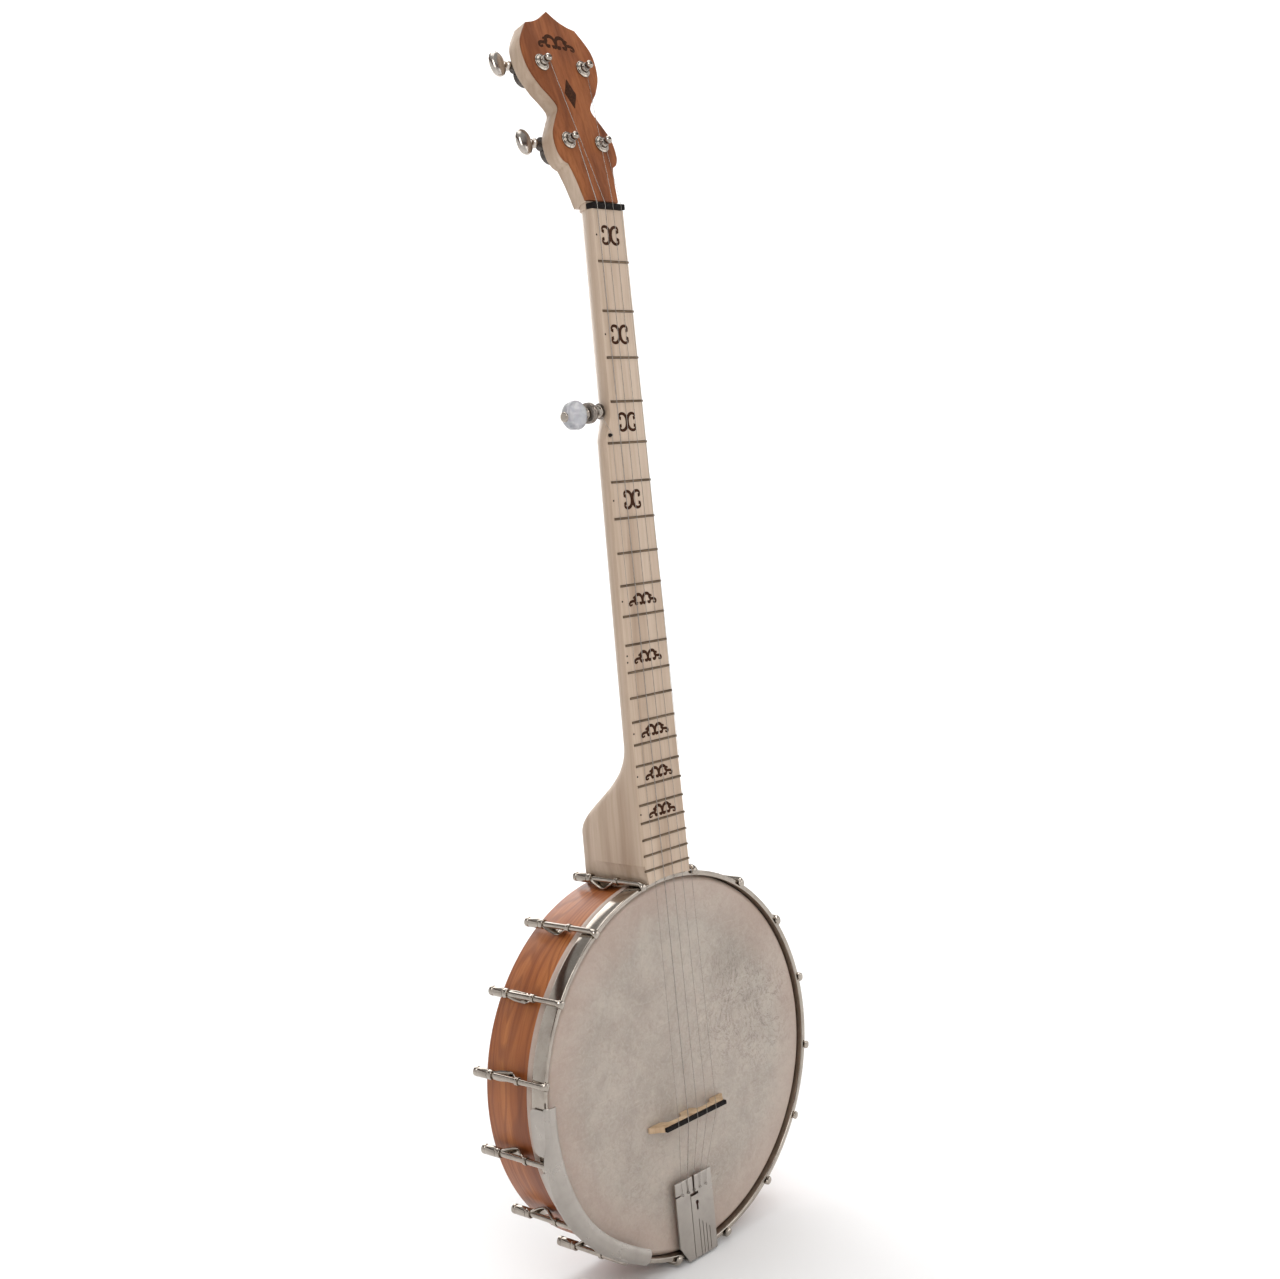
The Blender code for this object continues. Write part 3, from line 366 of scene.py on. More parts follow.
class Shader:
    """A Principled material and the few node recipes the materials share."""

    def __init__(self, name, roughness=0.5, metallic=0.0, **sockets):
        self.material = bpy.data.materials.new(name)
        self.material.use_nodes = True
        self.tree = self.material.node_tree
        self.principled = self.tree.nodes["Principled BSDF"]
        self.principled.inputs["Roughness"].default_value = roughness
        self.principled.inputs["Metallic"].default_value = metallic
        for key, value in sockets.items():
            self.principled.inputs[key.replace("_", " ")].default_value = value
        self.coords = self.add("TexCoord").outputs["Object"]

    def add(self, kind, inputs=None, **settings):
        made = self.tree.nodes.new("ShaderNode" + kind)
        for key, value in settings.items():
            setattr(made, key, value)
        for key, value in (inputs or {}).items():
            self.feed(made.inputs[key], value)
        return made

    def feed(self, socket, value):
        if isinstance(value, bpy.types.NodeSocket):
            self.tree.links.new(value, socket)
        else:
            socket.default_value = value

    def stretched(self, scale, coords=None, offset=(0, 0, 0)):
        return self.add("Mapping", {
            "Vector": coords or self.coords, "Scale": scale, "Location": offset}).outputs[0]

    def noise(self, scale, detail=4.0, rough=0.55, distortion=0.0, coords=None, offset=(0, 0, 0)):
        if isinstance(scale, (int, float)):
            scale = (scale, scale, scale)
        return self.add("TexNoise", {
            "Vector": self.stretched(scale, coords, offset), "Scale": 1.0, "Detail": detail,
            "Roughness": rough, "Distortion": distortion}).outputs[0]

    def ramp(self, factor, stops):
        made = self.add("ValToRGB", {"Fac": factor})
        ramp = made.color_ramp
        while len(ramp.elements) < len(stops):
            ramp.elements.new(0.5)
        for element, (place, colour) in zip(ramp.elements, stops):
            element.position = place
            element.color = colour
        return made.outputs["Color"]

    def levels(self, factor, low, high, out_low=0.0, out_high=1.0):
        return self.add("MapRange", {
            "Value": factor, "From Min": low, "From Max": high,
            "To Min": out_low, "To Max": out_high}).outputs[0]

    def mix(self, factor, first, second, blend="MIX"):
        made = self.add("Mix", data_type="RGBA", blend_type=blend)
        self.feed(made.inputs[0], factor)
        self.feed(made.inputs[6], first)
        self.feed(made.inputs[7], second)
        return made.outputs[2]

    def maths(self, operation, first, second=0.0, third=0.0):
        made = self.add("Math", operation=operation)
        self.feed(made.inputs[0], first)
        self.feed(made.inputs[1], second)
        if operation == "MULTIPLY_ADD":
            self.feed(made.inputs[2], third)
        return made.outputs[0]

    def laid(self, base, colour, factor, low, high, amount):
        """Base with a colour over it where the factor rises from low to high."""
        return self.mix(self.levels(factor, low, high, 0, amount), base, colour)

    def vector(self, operation, first, second=(0, 0, 0)):
        return self.add("VectorMath", {0: first, 1: second},
                        operation=operation).outputs

    def axes(self, coords):
        return self.add("SeparateXYZ", {0: coords}).outputs

    def joined(self, x, y, z):
        return self.add("CombineXYZ", {0: x, 1: y, 2: z}).outputs[0]

    def bump(self, height, strength=0.2, distance=0.0002):
        return self.add("Bump", {
            "Height": height, "Strength": strength, "Distance": distance}).outputs[0]

    def output(self, colour=None, roughness=None, normal=None):
        for key, value in (("Base Color", colour), ("Roughness", roughness), ("Normal", normal)):
            if value is not None:
                self.feed(self.principled.inputs[key], value)
        return self.material

    def around_pot(self):
        """Coordinates unrolled from the pot: along the rim, through its depth, and outwards."""
        x, y, z = self.axes(self.vector("SUBTRACT", self.coords, tuple(POT_CENTRE))[0])
        along = self.maths("MULTIPLY", self.maths("ARCTAN2", x, z), RIM_RADIUS)
        radius = self.vector("LENGTH", self.joined(x, 0.0, z))["Value"]
        return self.joined(along, y, radius), radius


def wood(name, pale, mid, dark, roughness, flecks=0.35, streaks=1.0, around=False, coat=0.15,
         gloss=0.4):
    """Wood with long grain, slow colour bands and short pores."""
    made = Shader(name, roughness, Coat_Weight=coat, Coat_Roughness=0.25,
                  Specular_IOR_Level=gloss)
    if around:
        coords = made.around_pot()[0]
        fine, slow, pore = (9, 420, 200), (5, 46, 30), (160, 2600, 1500)
    else:
        coords = made.coords
        fine, slow, pore = (420, 300, 7), (70, 50, 3), (2400, 2000, 120)
    base = made.noise(slow, 3, 0.5, 0.6, coords)
    body = made.ramp(base, [(0.3, pale), (0.52, mid), (0.75, dark)])
    lines = made.noise(fine, 5, 0.6, 0.3, coords)
    lined = made.laid(body, dark, lines, 0.45, 0.75, 0.55 * streaks)
    pores = made.noise(pore, 2, 0.5, 0, coords)
    flecked = made.laid(lined, dark, pores, 0.62, 0.78, flecks)
    rough = made.levels(lines, 0.3, 0.7, roughness - 0.07, roughness + 0.1)
    height = made.maths("ADD", lines, made.maths("MULTIPLY", pores, -0.5))
    return made.output(flecked, rough, made.bump(height, 0.25, 0.0003))


def figured_wood(name, pale, mid, dark, roughness):
    """Flat-sawn wood bent round the pot: long arched growth lines over fine grain."""
    made = Shader(name, roughness, Coat_Weight=0.1, Coat_Roughness=0.2,
                  Specular_IOR_Level=0.3)
    coords = made.around_pot()[0]
    slow = made.noise((5.5, 22, 8), 2, 0.45, 0.3, coords)
    rise = made.maths("MULTIPLY_ADD", slow, 0.085, made.axes(coords)["Y"])
    ring = made.maths("SINE", made.maths("MULTIPLY", rise, 900.0))
    tone = made.noise((4, 30, 10), 3, 0.5, 0.5, coords, (0.3, 0.1, 0))
    body = made.ramp(tone, [(0.3, pale), (0.5, mid), (0.72, dark)])
    lined = made.laid(body, dark, ring, 0.1, 1.0, 0.5)
    fine = made.noise((22, 900, 300), 5, 0.6, 0.2, coords)
    grained = made.laid(lined, dark, fine, 0.42, 0.72, 0.42)
    pores = made.noise((130, 3200, 900), 2, 0.5, 0, coords)
    flecked = made.laid(grained, dark, pores, 0.6, 0.75, 0.5)
    rough = made.levels(fine, 0.3, 0.7, roughness - 0.08, roughness + 0.1)
    return made.output(flecked, rough, made.bump(fine, 0.18))


def metal(name, colour, dull, roughness, scratch=(90, 900, 900), wear=0.25, bump=0.05):
    """Plated metal with faint brushing, cloudy patches and dull spots."""
    made = Shader(name, roughness, 1.0)
    cloud = made.noise(70, 4, 0.6, 0.4)
    spots = made.noise(420, 3, 0.6)
    brushed = made.noise(scratch, 4, 0.6)
    colour, dull = (*colour, 1), (*dull, 1)
    body = made.laid(colour, dull, cloud, 0.4, 0.75, wear)
    worn = made.laid(body, dull, spots, 0.6, 0.8, wear)
    mixed = made.maths("ADD", made.maths("MULTIPLY", cloud, 0.6),
                       made.maths("MULTIPLY", brushed, 0.4))
    rough = made.levels(mixed, 0.3, 0.7, roughness * 0.6, roughness * 1.5)
    return made.output(worn, rough, made.bump(brushed, bump))


def skin():
    """A matt fibrous head: cloudy mottling, dark veins, fine scratches and a pinkish edge."""
    made = Shader("head_skin", 0.5, Coat_Weight=0.08, Coat_Roughness=0.4,
                  Subsurface_Weight=0.05, Subsurface_Scale=0.004)
    radius = made.around_pot()[1]
    cloud = made.noise(16, 6, 0.62, 1.0)
    body = made.ramp(cloud, [(0.26, srgb(178, 169, 156)), (0.46, srgb(167, 158, 147)),
                             (0.7, srgb(150, 142, 131))])
    patches = made.noise(60, 5, 0.7, 1.6, None, (0.2, 0.6, 0.1))
    drawn = made.laid(body, srgb(148, 139, 127), patches, 0.5, 0.68, 0.45)
    uneven = made.maths("MULTIPLY", cloud, 0.03)
    worn = made.vector("DISTANCE", made.coords, (0.082, POT_CENTRE.y, -0.637))["Value"]
    wide = made.levels(made.maths("ADD", worn, uneven), 0.06, 0.1, 1, 0)
    for size, shift, reach, depth in ((26, 0.7, 0.022, 0.75), (44, 1.9, 0.018, 0.5)):
        veins = made.noise(size, 9, 0.68, 2.4, None, (shift, 0.2, 0.4))
        thread = made.maths("ABSOLUTE", made.maths("SUBTRACT", veins, 0.5))
        gate = made.noise(9, 2, 0.5, 0, None, (shift, 0.9, 0.2))
        inside = made.maths("MULTIPLY", wide, made.levels(gate, 0.4, 0.52, 0.1, 1.0))
        gated = made.maths("MAXIMUM", made.levels(gate, 0.54, 0.7, 0.0, 0.6), inside)
        shown = made.maths("MULTIPLY", made.levels(thread, 0.0, reach, depth, 0.0), gated)
        drawn = made.mix(shown, drawn, srgb(104, 94, 84))
    scratch = made.noise((30, 30, 420), 4, 0.6, 0.6)
    scratched = made.laid(drawn, srgb(190, 182, 171), scratch, 0.62, 0.72, 0.3)
    fibres = made.noise(260, 5, 0.7, 1.2)
    fibrous = made.laid(scratched, srgb(192, 184, 172), fibres, 0.48, 0.72, 0.36)
    dark = made.mix(made.levels(fibres, 0.3, 0.46, 0.3, 0), fibrous, srgb(132, 123, 112))
    edge = made.maths("ADD", radius, uneven)
    pink = made.laid(dark, srgb(180, 154, 140), edge, 0.118, 0.156, 0.6)
    rough = made.levels(cloud, 0.3, 0.7, 0.42, 0.58)
    return made.output(pink, rough, made.bump(fibres, 0.14, 0.0003))


def pearloid():
    made = Shader("pearloid", 0.22, Coat_Weight=0.6, Coat_Roughness=0.08)
    cells = made.add("TexVoronoi", {
        "Vector": made.stretched((260, 260, 260)), "Scale": 1.0}).outputs["Color"]
    swirl = made.noise(130, 3, 0.5, 1.2)
    body = made.ramp(swirl, [(0.3, srgb(146, 147, 152)), (0.5, srgb(164, 164, 168)),
                             (0.7, srgb(186, 186, 188))])
    shimmer = made.mix(0.04, body, cells, "SOFT_LIGHT")
    rough = made.levels(swirl, 0.3, 0.7, 0.14, 0.3)
    return made.output(shimmer, rough, made.bump(swirl, 0.04))


def black_fitting():
    made = Shader("black_nut", 0.6, Specular_IOR_Level=0.08)
    grain = made.noise((700, 700, 160), 4, 0.6)
    body = made.ramp(grain, [(0.35, (0.005, 0.004, 0.004, 1)), (0.7, (0.016, 0.012, 0.011, 1))])
    return made.output(body, made.levels(grain, 0.3, 0.7, 0.45, 0.62), made.bump(grain, 0.12))


def burnt():
    made = Shader("burnt_line", 0.85, Specular_IOR_Level=0.1)
    char = made.noise(900, 4, 0.65)
    body = made.ramp(char, [(0.35, srgb(44, 26, 17)), (0.6, srgb(70, 43, 28)),
                            (0.8, srgb(98, 63, 42))])
    return made.output(body, None, made.bump(char, 0.3))


maple = wood("neck_maple", srgb(203, 183, 163), srgb(189, 167, 146), srgb(154, 128, 105), 0.5,
             0.3, 0.8)
bridge_maple = wood("bridge_maple", srgb(216, 190, 158), srgb(204, 176, 142),
                    srgb(160, 126, 96), 0.6, 0.4)
overlay_wood = wood("overlay_wood", srgb(158, 97, 58), srgb(138, 80, 46), srgb(98, 52, 28),
                    0.6, 0.5, 1.0, False, 0.02, 0.2)
rim_wood = figured_wood("rim_wood", srgb(182, 112, 60), srgb(158, 90, 44), srgb(112, 56, 26),
                        0.42)
polished = metal("polished_nickel", (0.43, 0.385, 0.335), (0.2, 0.165, 0.135), 0.12, wear=0.45)
satin = metal("satin_nickel", (0.42, 0.385, 0.35), (0.3, 0.272, 0.245), 0.34, (60, 1200, 260),
              0.3, 0.1)
satin_button = metal("button_nickel", (0.56, 0.51, 0.46), (0.36, 0.31, 0.27), 0.18,
                     (500, 500, 500), 0.3, 0.04)
housing_metal = metal("housing_nickel", (0.27, 0.235, 0.205), (0.1, 0.08, 0.065), 0.13, wear=0.6)
gear_metal = metal("gear_case_nickel", (0.13, 0.115, 0.105), (0.06, 0.052, 0.046), 0.26,
                   (300, 300, 900), 0.5, 0.1)
rod_metal = metal("rod_steel", (0.44, 0.4, 0.37), (0.27, 0.24, 0.22), 0.2, (900, 900, 60),
                  0.35, 0.06)
fret_metal = metal("fret_metal", (0.17, 0.125, 0.085), (0.06, 0.042, 0.03), 0.36,
                   (60, 900, 900), 0.6, 0.08)
string_metal = metal("string_steel", (0.36, 0.33, 0.3), (0.22, 0.2, 0.18), 0.25,
                     (2000, 2000, 200), 0.3, 0.05)
head_skin = skin()
pearl = pearloid()
black = black_fitting()
burn = burnt()

# ---------------------------------------------------------------- neck
SCALE_LENGTH = 0.66675
NUT_HALF_WIDTH = (nut_high.x - nut_low.x) / 2
HEEL_START = 0.388
HEEL_FULL = 0.456
BOARD_END = POT_DROP - RIM_RADIUS + 0.012
NECK_ARC_STEPS = 44
FRET_COUNT = 22
FIFTH_FRET = 5
FIFTH_PEG_DROP = 0.146
BRACKET_COUNT = 16


def fret_drop(number):
    return SCALE_LENGTH * (1 - 2 ** (-number / 12))


def treble_edge(drop):
    return NUT_HALF_WIDTH + 0.0103 * max(drop, 0)


def bass_edge(drop):
    wide = 0.0243 + 0.0135 * (drop - fret_drop(FIFTH_FRET))
    return blend(treble_edge(drop), wide, smoothstep((drop - FIFTH_PEG_DROP) / 0.02))


def neck_ring(drop, front):
    """A section of the neck: a flat front with eased edges, straight sides, a round back."""
    heel = (drop - HEEL_START) / (HEEL_FULL - HEEL_START)
    depth = blend(0.0205 + 0.004 * max(drop, 0), 0.0705, smoothstep(heel) ** 1.5)
    squareness = blend(2.0, 7.0, smoothstep(heel))
    narrowing = blend(1.0, 0.95, smoothstep(heel))
    side = front + 0.0035
    ease = 0.0007
    right = treble_edge(drop)
    left = bass_edge(drop)
    ring = [(-left, front + ease), (-left + ease * 0.3, front + ease * 0.3), (-left + ease, front),
            (right - ease, front), (right - ease * 0.3, front + ease * 0.3),
            (right, front + ease)]
    for step in range(NECK_ARC_STEPS + 1):
        turned = pi * step / NECK_ARC_STEPS
        across = signed_power(cos(turned), 2 / squareness)
        back = signed_power(sin(turned), 2 / squareness)
        width = (right if across > 0 else left) * blend(1, narrowing, back)
        ring.append((across * width, side + (depth - side) * back))
    return [INSTRUMENT @ Vector((x, y, -drop)) for x, y in ring]


def add_neck():
    drops = [0.0003] + [0.02 * step for step in range(1, 7)] + [0.13]
    drops += [FIFTH_PEG_DROP + 0.0013 * step for step in range(16)]
    drops += [0.18, 0.22, 0.26, 0.3, 0.34, 0.37]
    drops += [HEEL_START + (HEEL_FULL - HEEL_START) * step / 30 for step in range(31)]
    drops += [0.475, BOARD_END]
    rings = [neck_ring(drop, 0) for drop in reversed(drops)]
    rings += [neck_ring(0.0001, 0.0061), neck_ring(-0.006, 0.0068)]
    last = []
    for point in neck_ring(0, 0.0068):
        x, y, z = INSTRUMENT.inverted() @ point
        last.append(INSTRUMENT @ Vector((x * 0.8, y + 0.0035 if y < 0.012 else y - 0.001, 0.016)))
    rings.append(last)
    bm = bmesh.new()
    loft(bm, rings)
    shaft = finish_mesh(bm, "neck_shaft")
    cutters = []
    for radius, low, high in ((0.145, -0.01, 0.0252), (RIM_RADIUS + 0.0004, 0.01, 0.08)):
        bm = bmesh.new()
        turn(bm, [(0, low), (radius, low), (radius, high), (0, high)], POT, 256)
        cutters.append(finish_mesh(bm, "round_cutter"))
    bm = bmesh.new()
    block(bm, (RIM_RADIUS - 0.004, -0.0044, -0.004), (0.16, 0.0044, 0.08),
          POT @ Matrix.Rotation(bracket_angle(1), 4, "Z"))
    cutters.append(finish_mesh(bm, "bracket_cutter"))
    add_piece("neck_shaft", cut("neck_shaft", shaft, cutters), maple, ["neck"])


def bracket_angle(number):
    return -pi / 2 - TAU * (number - 0.5) / BRACKET_COUNT


add_neck()

PEGHEAD_CURVES = [
    [(0.0165, 0.0016), (0.0192, 0.019), (0.0223, 0.0305)],
    [(0.0223, 0.0305), (0.027, 0.0335), (0.03, 0.041), (0.0288, 0.054), (0.0205, 0.068)],
    [(0.0205, 0.068), (0.0168, 0.0765), (0.0273, 0.0895)],
    [(0.0273, 0.0895), (0.035, 0.104), (0.0355, 0.123), (0.0245, 0.14)],
    [(0.0245, 0.14), (0.0168, 0.1418), (0.0087, 0.1455), (0.0, 0.1518)]]
right_side = [Vector(PEGHEAD_CURVES[0][0])]
for curve in PEGHEAD_CURVES:
    right_side += smoothed(curve, 9)[1:]
peghead_outline = [tuple(point) for point in right_side]
peghead_outline += [(-point.x, point.y) for point in reversed(right_side) if point.x > 1e-6]
bm = bmesh.new()
plate(bm, peghead_outline, -0.014, -0.0017, PEGHEAD, 0.0006)
add_piece("peghead_core", bm, maple, ["neck"])
bm = bmesh.new()
plate(bm, [(x, max(y, 0.0026)) for x, y in peghead_outline], -0.0018, 0, PEGHEAD, 0.0004)
add_piece("peghead_face", bm, overlay_wood, ["peghead_overlay"])


def add_fret(number):
    drop = fret_drop(number)
    start = -bass_edge(drop) + 0.0013
    end = treble_edge(drop) - 0.0003
    rings = []
    for share, size in ((0, 0.35), (0.0012, 0.8), (0.003, 1.0), (0.5, 1.0),
                        (0.997, 1.0), (0.9988, 0.8), (1.0, 0.35)):
        ring = []
        for step in range(13):
            angle = pi * step / 12
            ring.append(INSTRUMENT @ Vector((
                blend(start, end, share),
                0.0001 - 0.001 * size * sin(angle),
                -drop - 0.00092 * size * cos(angle))))
        ring.append(INSTRUMENT @ Vector((blend(start, end, share), 0.0008, -drop)))
        rings.append(ring)
    bm = bmesh.new()
    loft(bm, rings)
    add_piece("fret_%02d" % number, bm, fret_metal)


for number in range(1, FRET_COUNT + 1):
    add_fret(number)


# ---------------------------------------------------------------- burnt ornaments and side dots
SCROLL_STEPS = 90


def scroll(bend, wind, twin=1):
    """A scroll of unit length, drawn from its curvature, which grows along both arms.

    With twin 1 both arms curl the same way, a C; with twin -1 they curl opposite ways, an S.
    """
    curls = []
    for step in range(SCROLL_STEPS + 1):
        share = 2 * step / SCROLL_STEPS - 1
        curl = bend + wind * max((abs(share) - 0.1) / 0.9, 0) ** 1.2
        curls.append(curl * (twin if share < 0 else 1))
    points = []
    place = Vector((0, 0))
    heading = -sum(curls[:SCROLL_STEPS // 2]) / SCROLL_STEPS
    for curl in curls:
        points.append(place.copy())
        heading += curl / SCROLL_STEPS
        place += Vector((cos(heading), sin(heading))) / SCROLL_STEPS
    return points


def fitted(points, width, height, turned, flip):
    """A scroll turned by an angle, centred and stretched to a size, and mirrored by flip."""
    rotated = [Matrix.Rotation(turned, 2) @ point for point in points]
    low = Vector((min(p.x for p in rotated), min(p.y for p in rotated)))
    high = Vector((max(p.x for p in rotated), max(p.y for p in rotated)))
    middle = (low + high) / 2
    return [Vector((flip * (p.x - middle.x) * width / (high.x - low.x),
                    (p.y - middle.y) * height / (high.y - low.y))) for p in rotated]


def burnt_stroke(bm, points, offset, place, thick):
    count = len(points) - 1
    path = []
    sections = []
    for index, point in enumerate(points):
        share = index / count
        swell = 0.45 + 0.75 * sin(pi * share) ** 0.8
        if share < 0.06 or share > 0.94:
            swell = 1.15
        path.append(Vector((point.x + offset[0], point.y + offset[1], 0)))
        sections.append((0.00009, thick * swell))
    sweep(bm, path, sections, (0, 0, 1), place, 10)


def wave_half(bm, middle, flip, size, place):
    """One half of a wide ornament: a curled arch, and an S that falls away outside it."""
    arch = fitted(c_scroll, 0.0078 * size, 0.0072 * size, pi, flip)
    burnt_stroke(bm, arch, (middle[0] + flip * 0.0042 * size, middle[1]), place, 0.00105 * size)
    tail = fitted(s_scroll, 0.007 * size, 0.006 * size, 0.0, -flip)
    burnt_stroke(bm, tail, (middle[0] + flip * 0.0104 * size, middle[1] - 0.0008 * size), place,
                 0.0009 * size)


c_scroll = scroll(2.2, 17.5)
s_scroll = scroll(2.6, 19.0, -1)
for low_fret in (0, 2, 4, 6, 9, 11, 14, 16, 18):
    centre = -(fret_drop(low_fret) + fret_drop(low_fret + 1)) / 2
    middle_x = (treble_edge(-centre) - bass_edge(-centre)) / 2
    bm = bmesh.new()
    for flip in (-1, 1):
        if low_fret < 9:
            shape = fitted(c_scroll, 0.0078, 0.0122, -pi / 2, flip)
            burnt_stroke(bm, shape, (middle_x + flip * 0.0043, centre), BOARD, 0.00118)
        else:
            wave_half(bm, (middle_x + 0.001, centre), flip, 1.0, BOARD)
    add_piece("scroll_%02d" % low_fret, bm, burn)

bm = bmesh.new()
side_marks = [(number, 0.5) for number in (1, 3, 7, 10, 15, 17, 19)] + [(12, 0.38), (12, 0.62)]
for number, share in side_marks:
    drop = blend(fret_drop(number - 1), fret_drop(number), share)
    lathe(bm, [(0, 0.06), (0.7, 0.06), (0.9, -0.2)],
          moved(BOARD, -bass_edge(drop) + 0.0022, -drop, 0), 16)
add_piece("side_dots", bm, black)

# The face of the peghead carries a plain lozenge between two small scrolls.
bm = bmesh.new()
lozenge = rounded([(0.0, -0.012), (0.0058, 0.0), (0.0, 0.012), (-0.0058, 0.0)], 0.001, True)
plate(bm, [(p.x, p.y + 0.0865) for p in lozenge], -0.0002, 0.00008, PEGHEAD, 0.00006)
for flip in (-1, 1):
    wave_half(bm, (0, 0.1268), flip, 1.25, PEGHEAD)
add_piece("peghead_ornament", bm, burn)

# ---------------------------------------------------------------- nut and fifth-string nut
STRING_RADII = (0.00016, 0.00019, 0.00022, 0.00032, 0.00016)
NUT_CROWN = -0.0018
NUT_LENGTH = 0.0042
NUT_SPACING = 0.0082
NUT_X = [(2.5 - number) * NUT_SPACING for number in range(1, 5)]
outline = [(-NUT_HALF_WIDTH, 0.0058), (-NUT_HALF_WIDTH, NUT_CROWN)]
for x in sorted(NUT_X):
    outline += [(x - 0.0008, NUT_CROWN), (x - 0.0004, NUT_CROWN + 0.0005),
                (x + 0.0004, NUT_CROWN + 0.0005), (x + 0.0008, NUT_CROWN)]
outline += [(NUT_HALF_WIDTH, NUT_CROWN), (NUT_HALF_WIDTH, 0.0058)]
bm = bmesh.new()
plate(bm, outline, 0, NUT_LENGTH, INSTRUMENT, 0.0004)
add_piece("string_nut", bm, black, ["nut"])
pip_low, pip_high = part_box("fifth_string_nut")
PIP = Vector(((pip_low.x + pip_high.x) / 2, ORIGIN.y, (pip_low.z + pip_high.z) / 2))
bm = bmesh.new()
lathe(bm, [(0, 2.8), (1, 2.8), (0.9, 2), (1.4, 1.2), (1.4, 0), (0, 0)],
      moved(Matrix.Translation(PIP), 0, 0, 0, 90), 24, 0.3)
add_piece("fifth_nut_pip", bm, black, ["fifth_string_nut"])

# ---------------------------------------------------------------- pot
RIM_INNER = RIM_RADIUS - 0.0127
HOOP_OUTER = 0.1446
HOOP_INNER = 0.1408
HOOP_FRONT = 0.0036
HOOP_BACK = 0.017
HEAD_FACE = 0.0064
RING_STEPS = 288


def add_ring(name, profile, radius, material, replaces, closed=True):
    bm = bmesh.new()
    turn(bm, rounded(profile, radius, closed), POT, RING_STEPS, closed)
    add_piece(name, bm, material, replaces)


add_ring("rim_body", [
    (RIM_RADIUS, RIM_BACK), (RIM_RADIUS, RIM_FRONT + 0.003), (RIM_RADIUS - 0.003, RIM_FRONT),
    (RIM_INNER + 0.006, RIM_FRONT + 0.0012), (RIM_INNER, RIM_FRONT + 0.005),
    (RIM_INNER, RIM_BACK)], 0.0014, rim_wood, ["rim"])
collar = RIM_RADIUS + 0.0008
hoop_edge = HOOP_INNER + 0.0024
add_ring("head_skin", [
    (0, HEAD_FACE + 0.0005), (RIM_RADIUS - 0.0036, HEAD_FACE + 0.0005),
    (RIM_RADIUS + 0.0003, RIM_FRONT + 0.0026), (RIM_RADIUS + 0.0003, 0.024),
    (HOOP_INNER + 0.0018, 0.024), (hoop_edge, 0.0225),
    (hoop_edge, HOOP_BACK + 0.0014), (HOOP_INNER + 0.0012, HOOP_BACK + 0.0004),
    (collar, HOOP_BACK + 0.0004), (collar, RIM_FRONT + 0.0022),
    (RIM_RADIUS - 0.0026, HEAD_FACE), (0, HEAD_FACE)], 0.0016, head_skin, ["head"], False)
add_ring("hoop_band", [
    (HOOP_OUTER, HOOP_BACK), (HOOP_OUTER, HOOP_FRONT), (HOOP_INNER, HOOP_FRONT),
    (HOOP_INNER, HOOP_BACK)], 0.0011, polished, ["tension_hoop"])

# ---------------------------------------------------------------- brackets
HOOK_CIRCLE = 0.147
NUT_START = 0.0585
NUT_END = 0.0725
BOLT_DEPTH = 0.042
SHOE_STEPS = 26


def hook_mesh(bm, place):
    wire = 0.0021
    path = [(HOOK_CIRCLE, 0, 0.0705), (HOOK_CIRCLE, 0, 0.03), (HOOK_CIRCLE, 0, 0.009)]
    sections = [(wire, wire)] * 3
    for step in range(1, 11):
        angle = pi / 2 * step / 10
        share = smoothstep(step / 10)
        path.append((HOOK_CIRCLE - 0.003 * (1 - cos(angle)), 0,
                     0.0056 - 0.0038 * sin(angle)))
        sections.append((blend(wire, 0.0031, share), blend(wire, 0.0012, share)))
    path += [(0.1426, 0, 0.0019), (0.142, 0, 0.0021)]
    sections += [(0.003, 0.001), (0.0022, 0.0006)]
    sweep(bm, path, sections, (0, 1, 0), place, 20, 2.3)


def hook_nut_mesh(bm, place):
    profile = [(0.0016, NUT_START), (0.0036, NUT_START), (0.0037, NUT_START + 0.01),
               (0.0031, NUT_START + 0.0104), (0.0031, NUT_START + 0.011),
               (0.0037, NUT_START + 0.0114), (0.0037, NUT_END), (0.0022, NUT_END),
               (0.0021, NUT_END - 0.003), (0, NUT_END - 0.003)]
    turn(bm, rounded(profile, 0.0004), moved(place, HOOK_CIRCLE, 0, 0), 28)


def shoe_mesh(bm, place):
    foot = RIM_RADIUS + 0.00145
    front = 0.027
    back = NUT_START - 0.0002
    middle = (front + back) / 2
    half = (back - front) / 2
    path = []
    sections = []
    for step in range(-SHOE_STEPS, SHOE_STEPS + 1):
        share = step / SHOE_STEPS
        lift = (1 - cos(pi * share)) / 2
        path.append((foot + (HOOK_CIRCLE - foot) * lift, 0, middle + half * share * 0.9))
        width = blend(0.0039, 0.0027, smoothstep((abs(share) - 0.45) / 0.5))
        sections.append((width, 0.00095))
    sweep(bm, path, sections, (0, 1, 0), place, 20, 3.6)
    for start, length, outer in ((back - 0.004, 4, 3.6), (front - 0.0002, 2.8, 3.1)):
        lathe(bm, [(2.1, 0), (outer, 0), (outer, length), (2.1, length)],
              moved(place, HOOK_CIRCLE, 0, start), 24, 0.6, True)


def shoe_bolt_mesh(bm, place):
    """The bolt's washer, nut and threaded end inside the rim."""
    inwards = moved(moved(place, 0, 0, BOLT_DEPTH, -90, "Y"), 0, 0, -RIM_INNER)
    lathe(bm, [(0, 0), (5.2, 0), (5.2, 0.6), (0, 0.6)], inwards, 24, 0.2)
    lathe(bm, [(0, 0.6), (4.1, 0.6), (4.5, 1.1), (4.5, 2.9), (4, 3.4), (0, 3.4)], inwards, 6)
    thread = [(2.1 if step % 2 else 2.4, 3.4 + 0.1 * step) for step in range(9)]
    lathe(bm, [(0, 0), *thread, (1.8, 4.4), (0, 4.4)], inwards, 16)


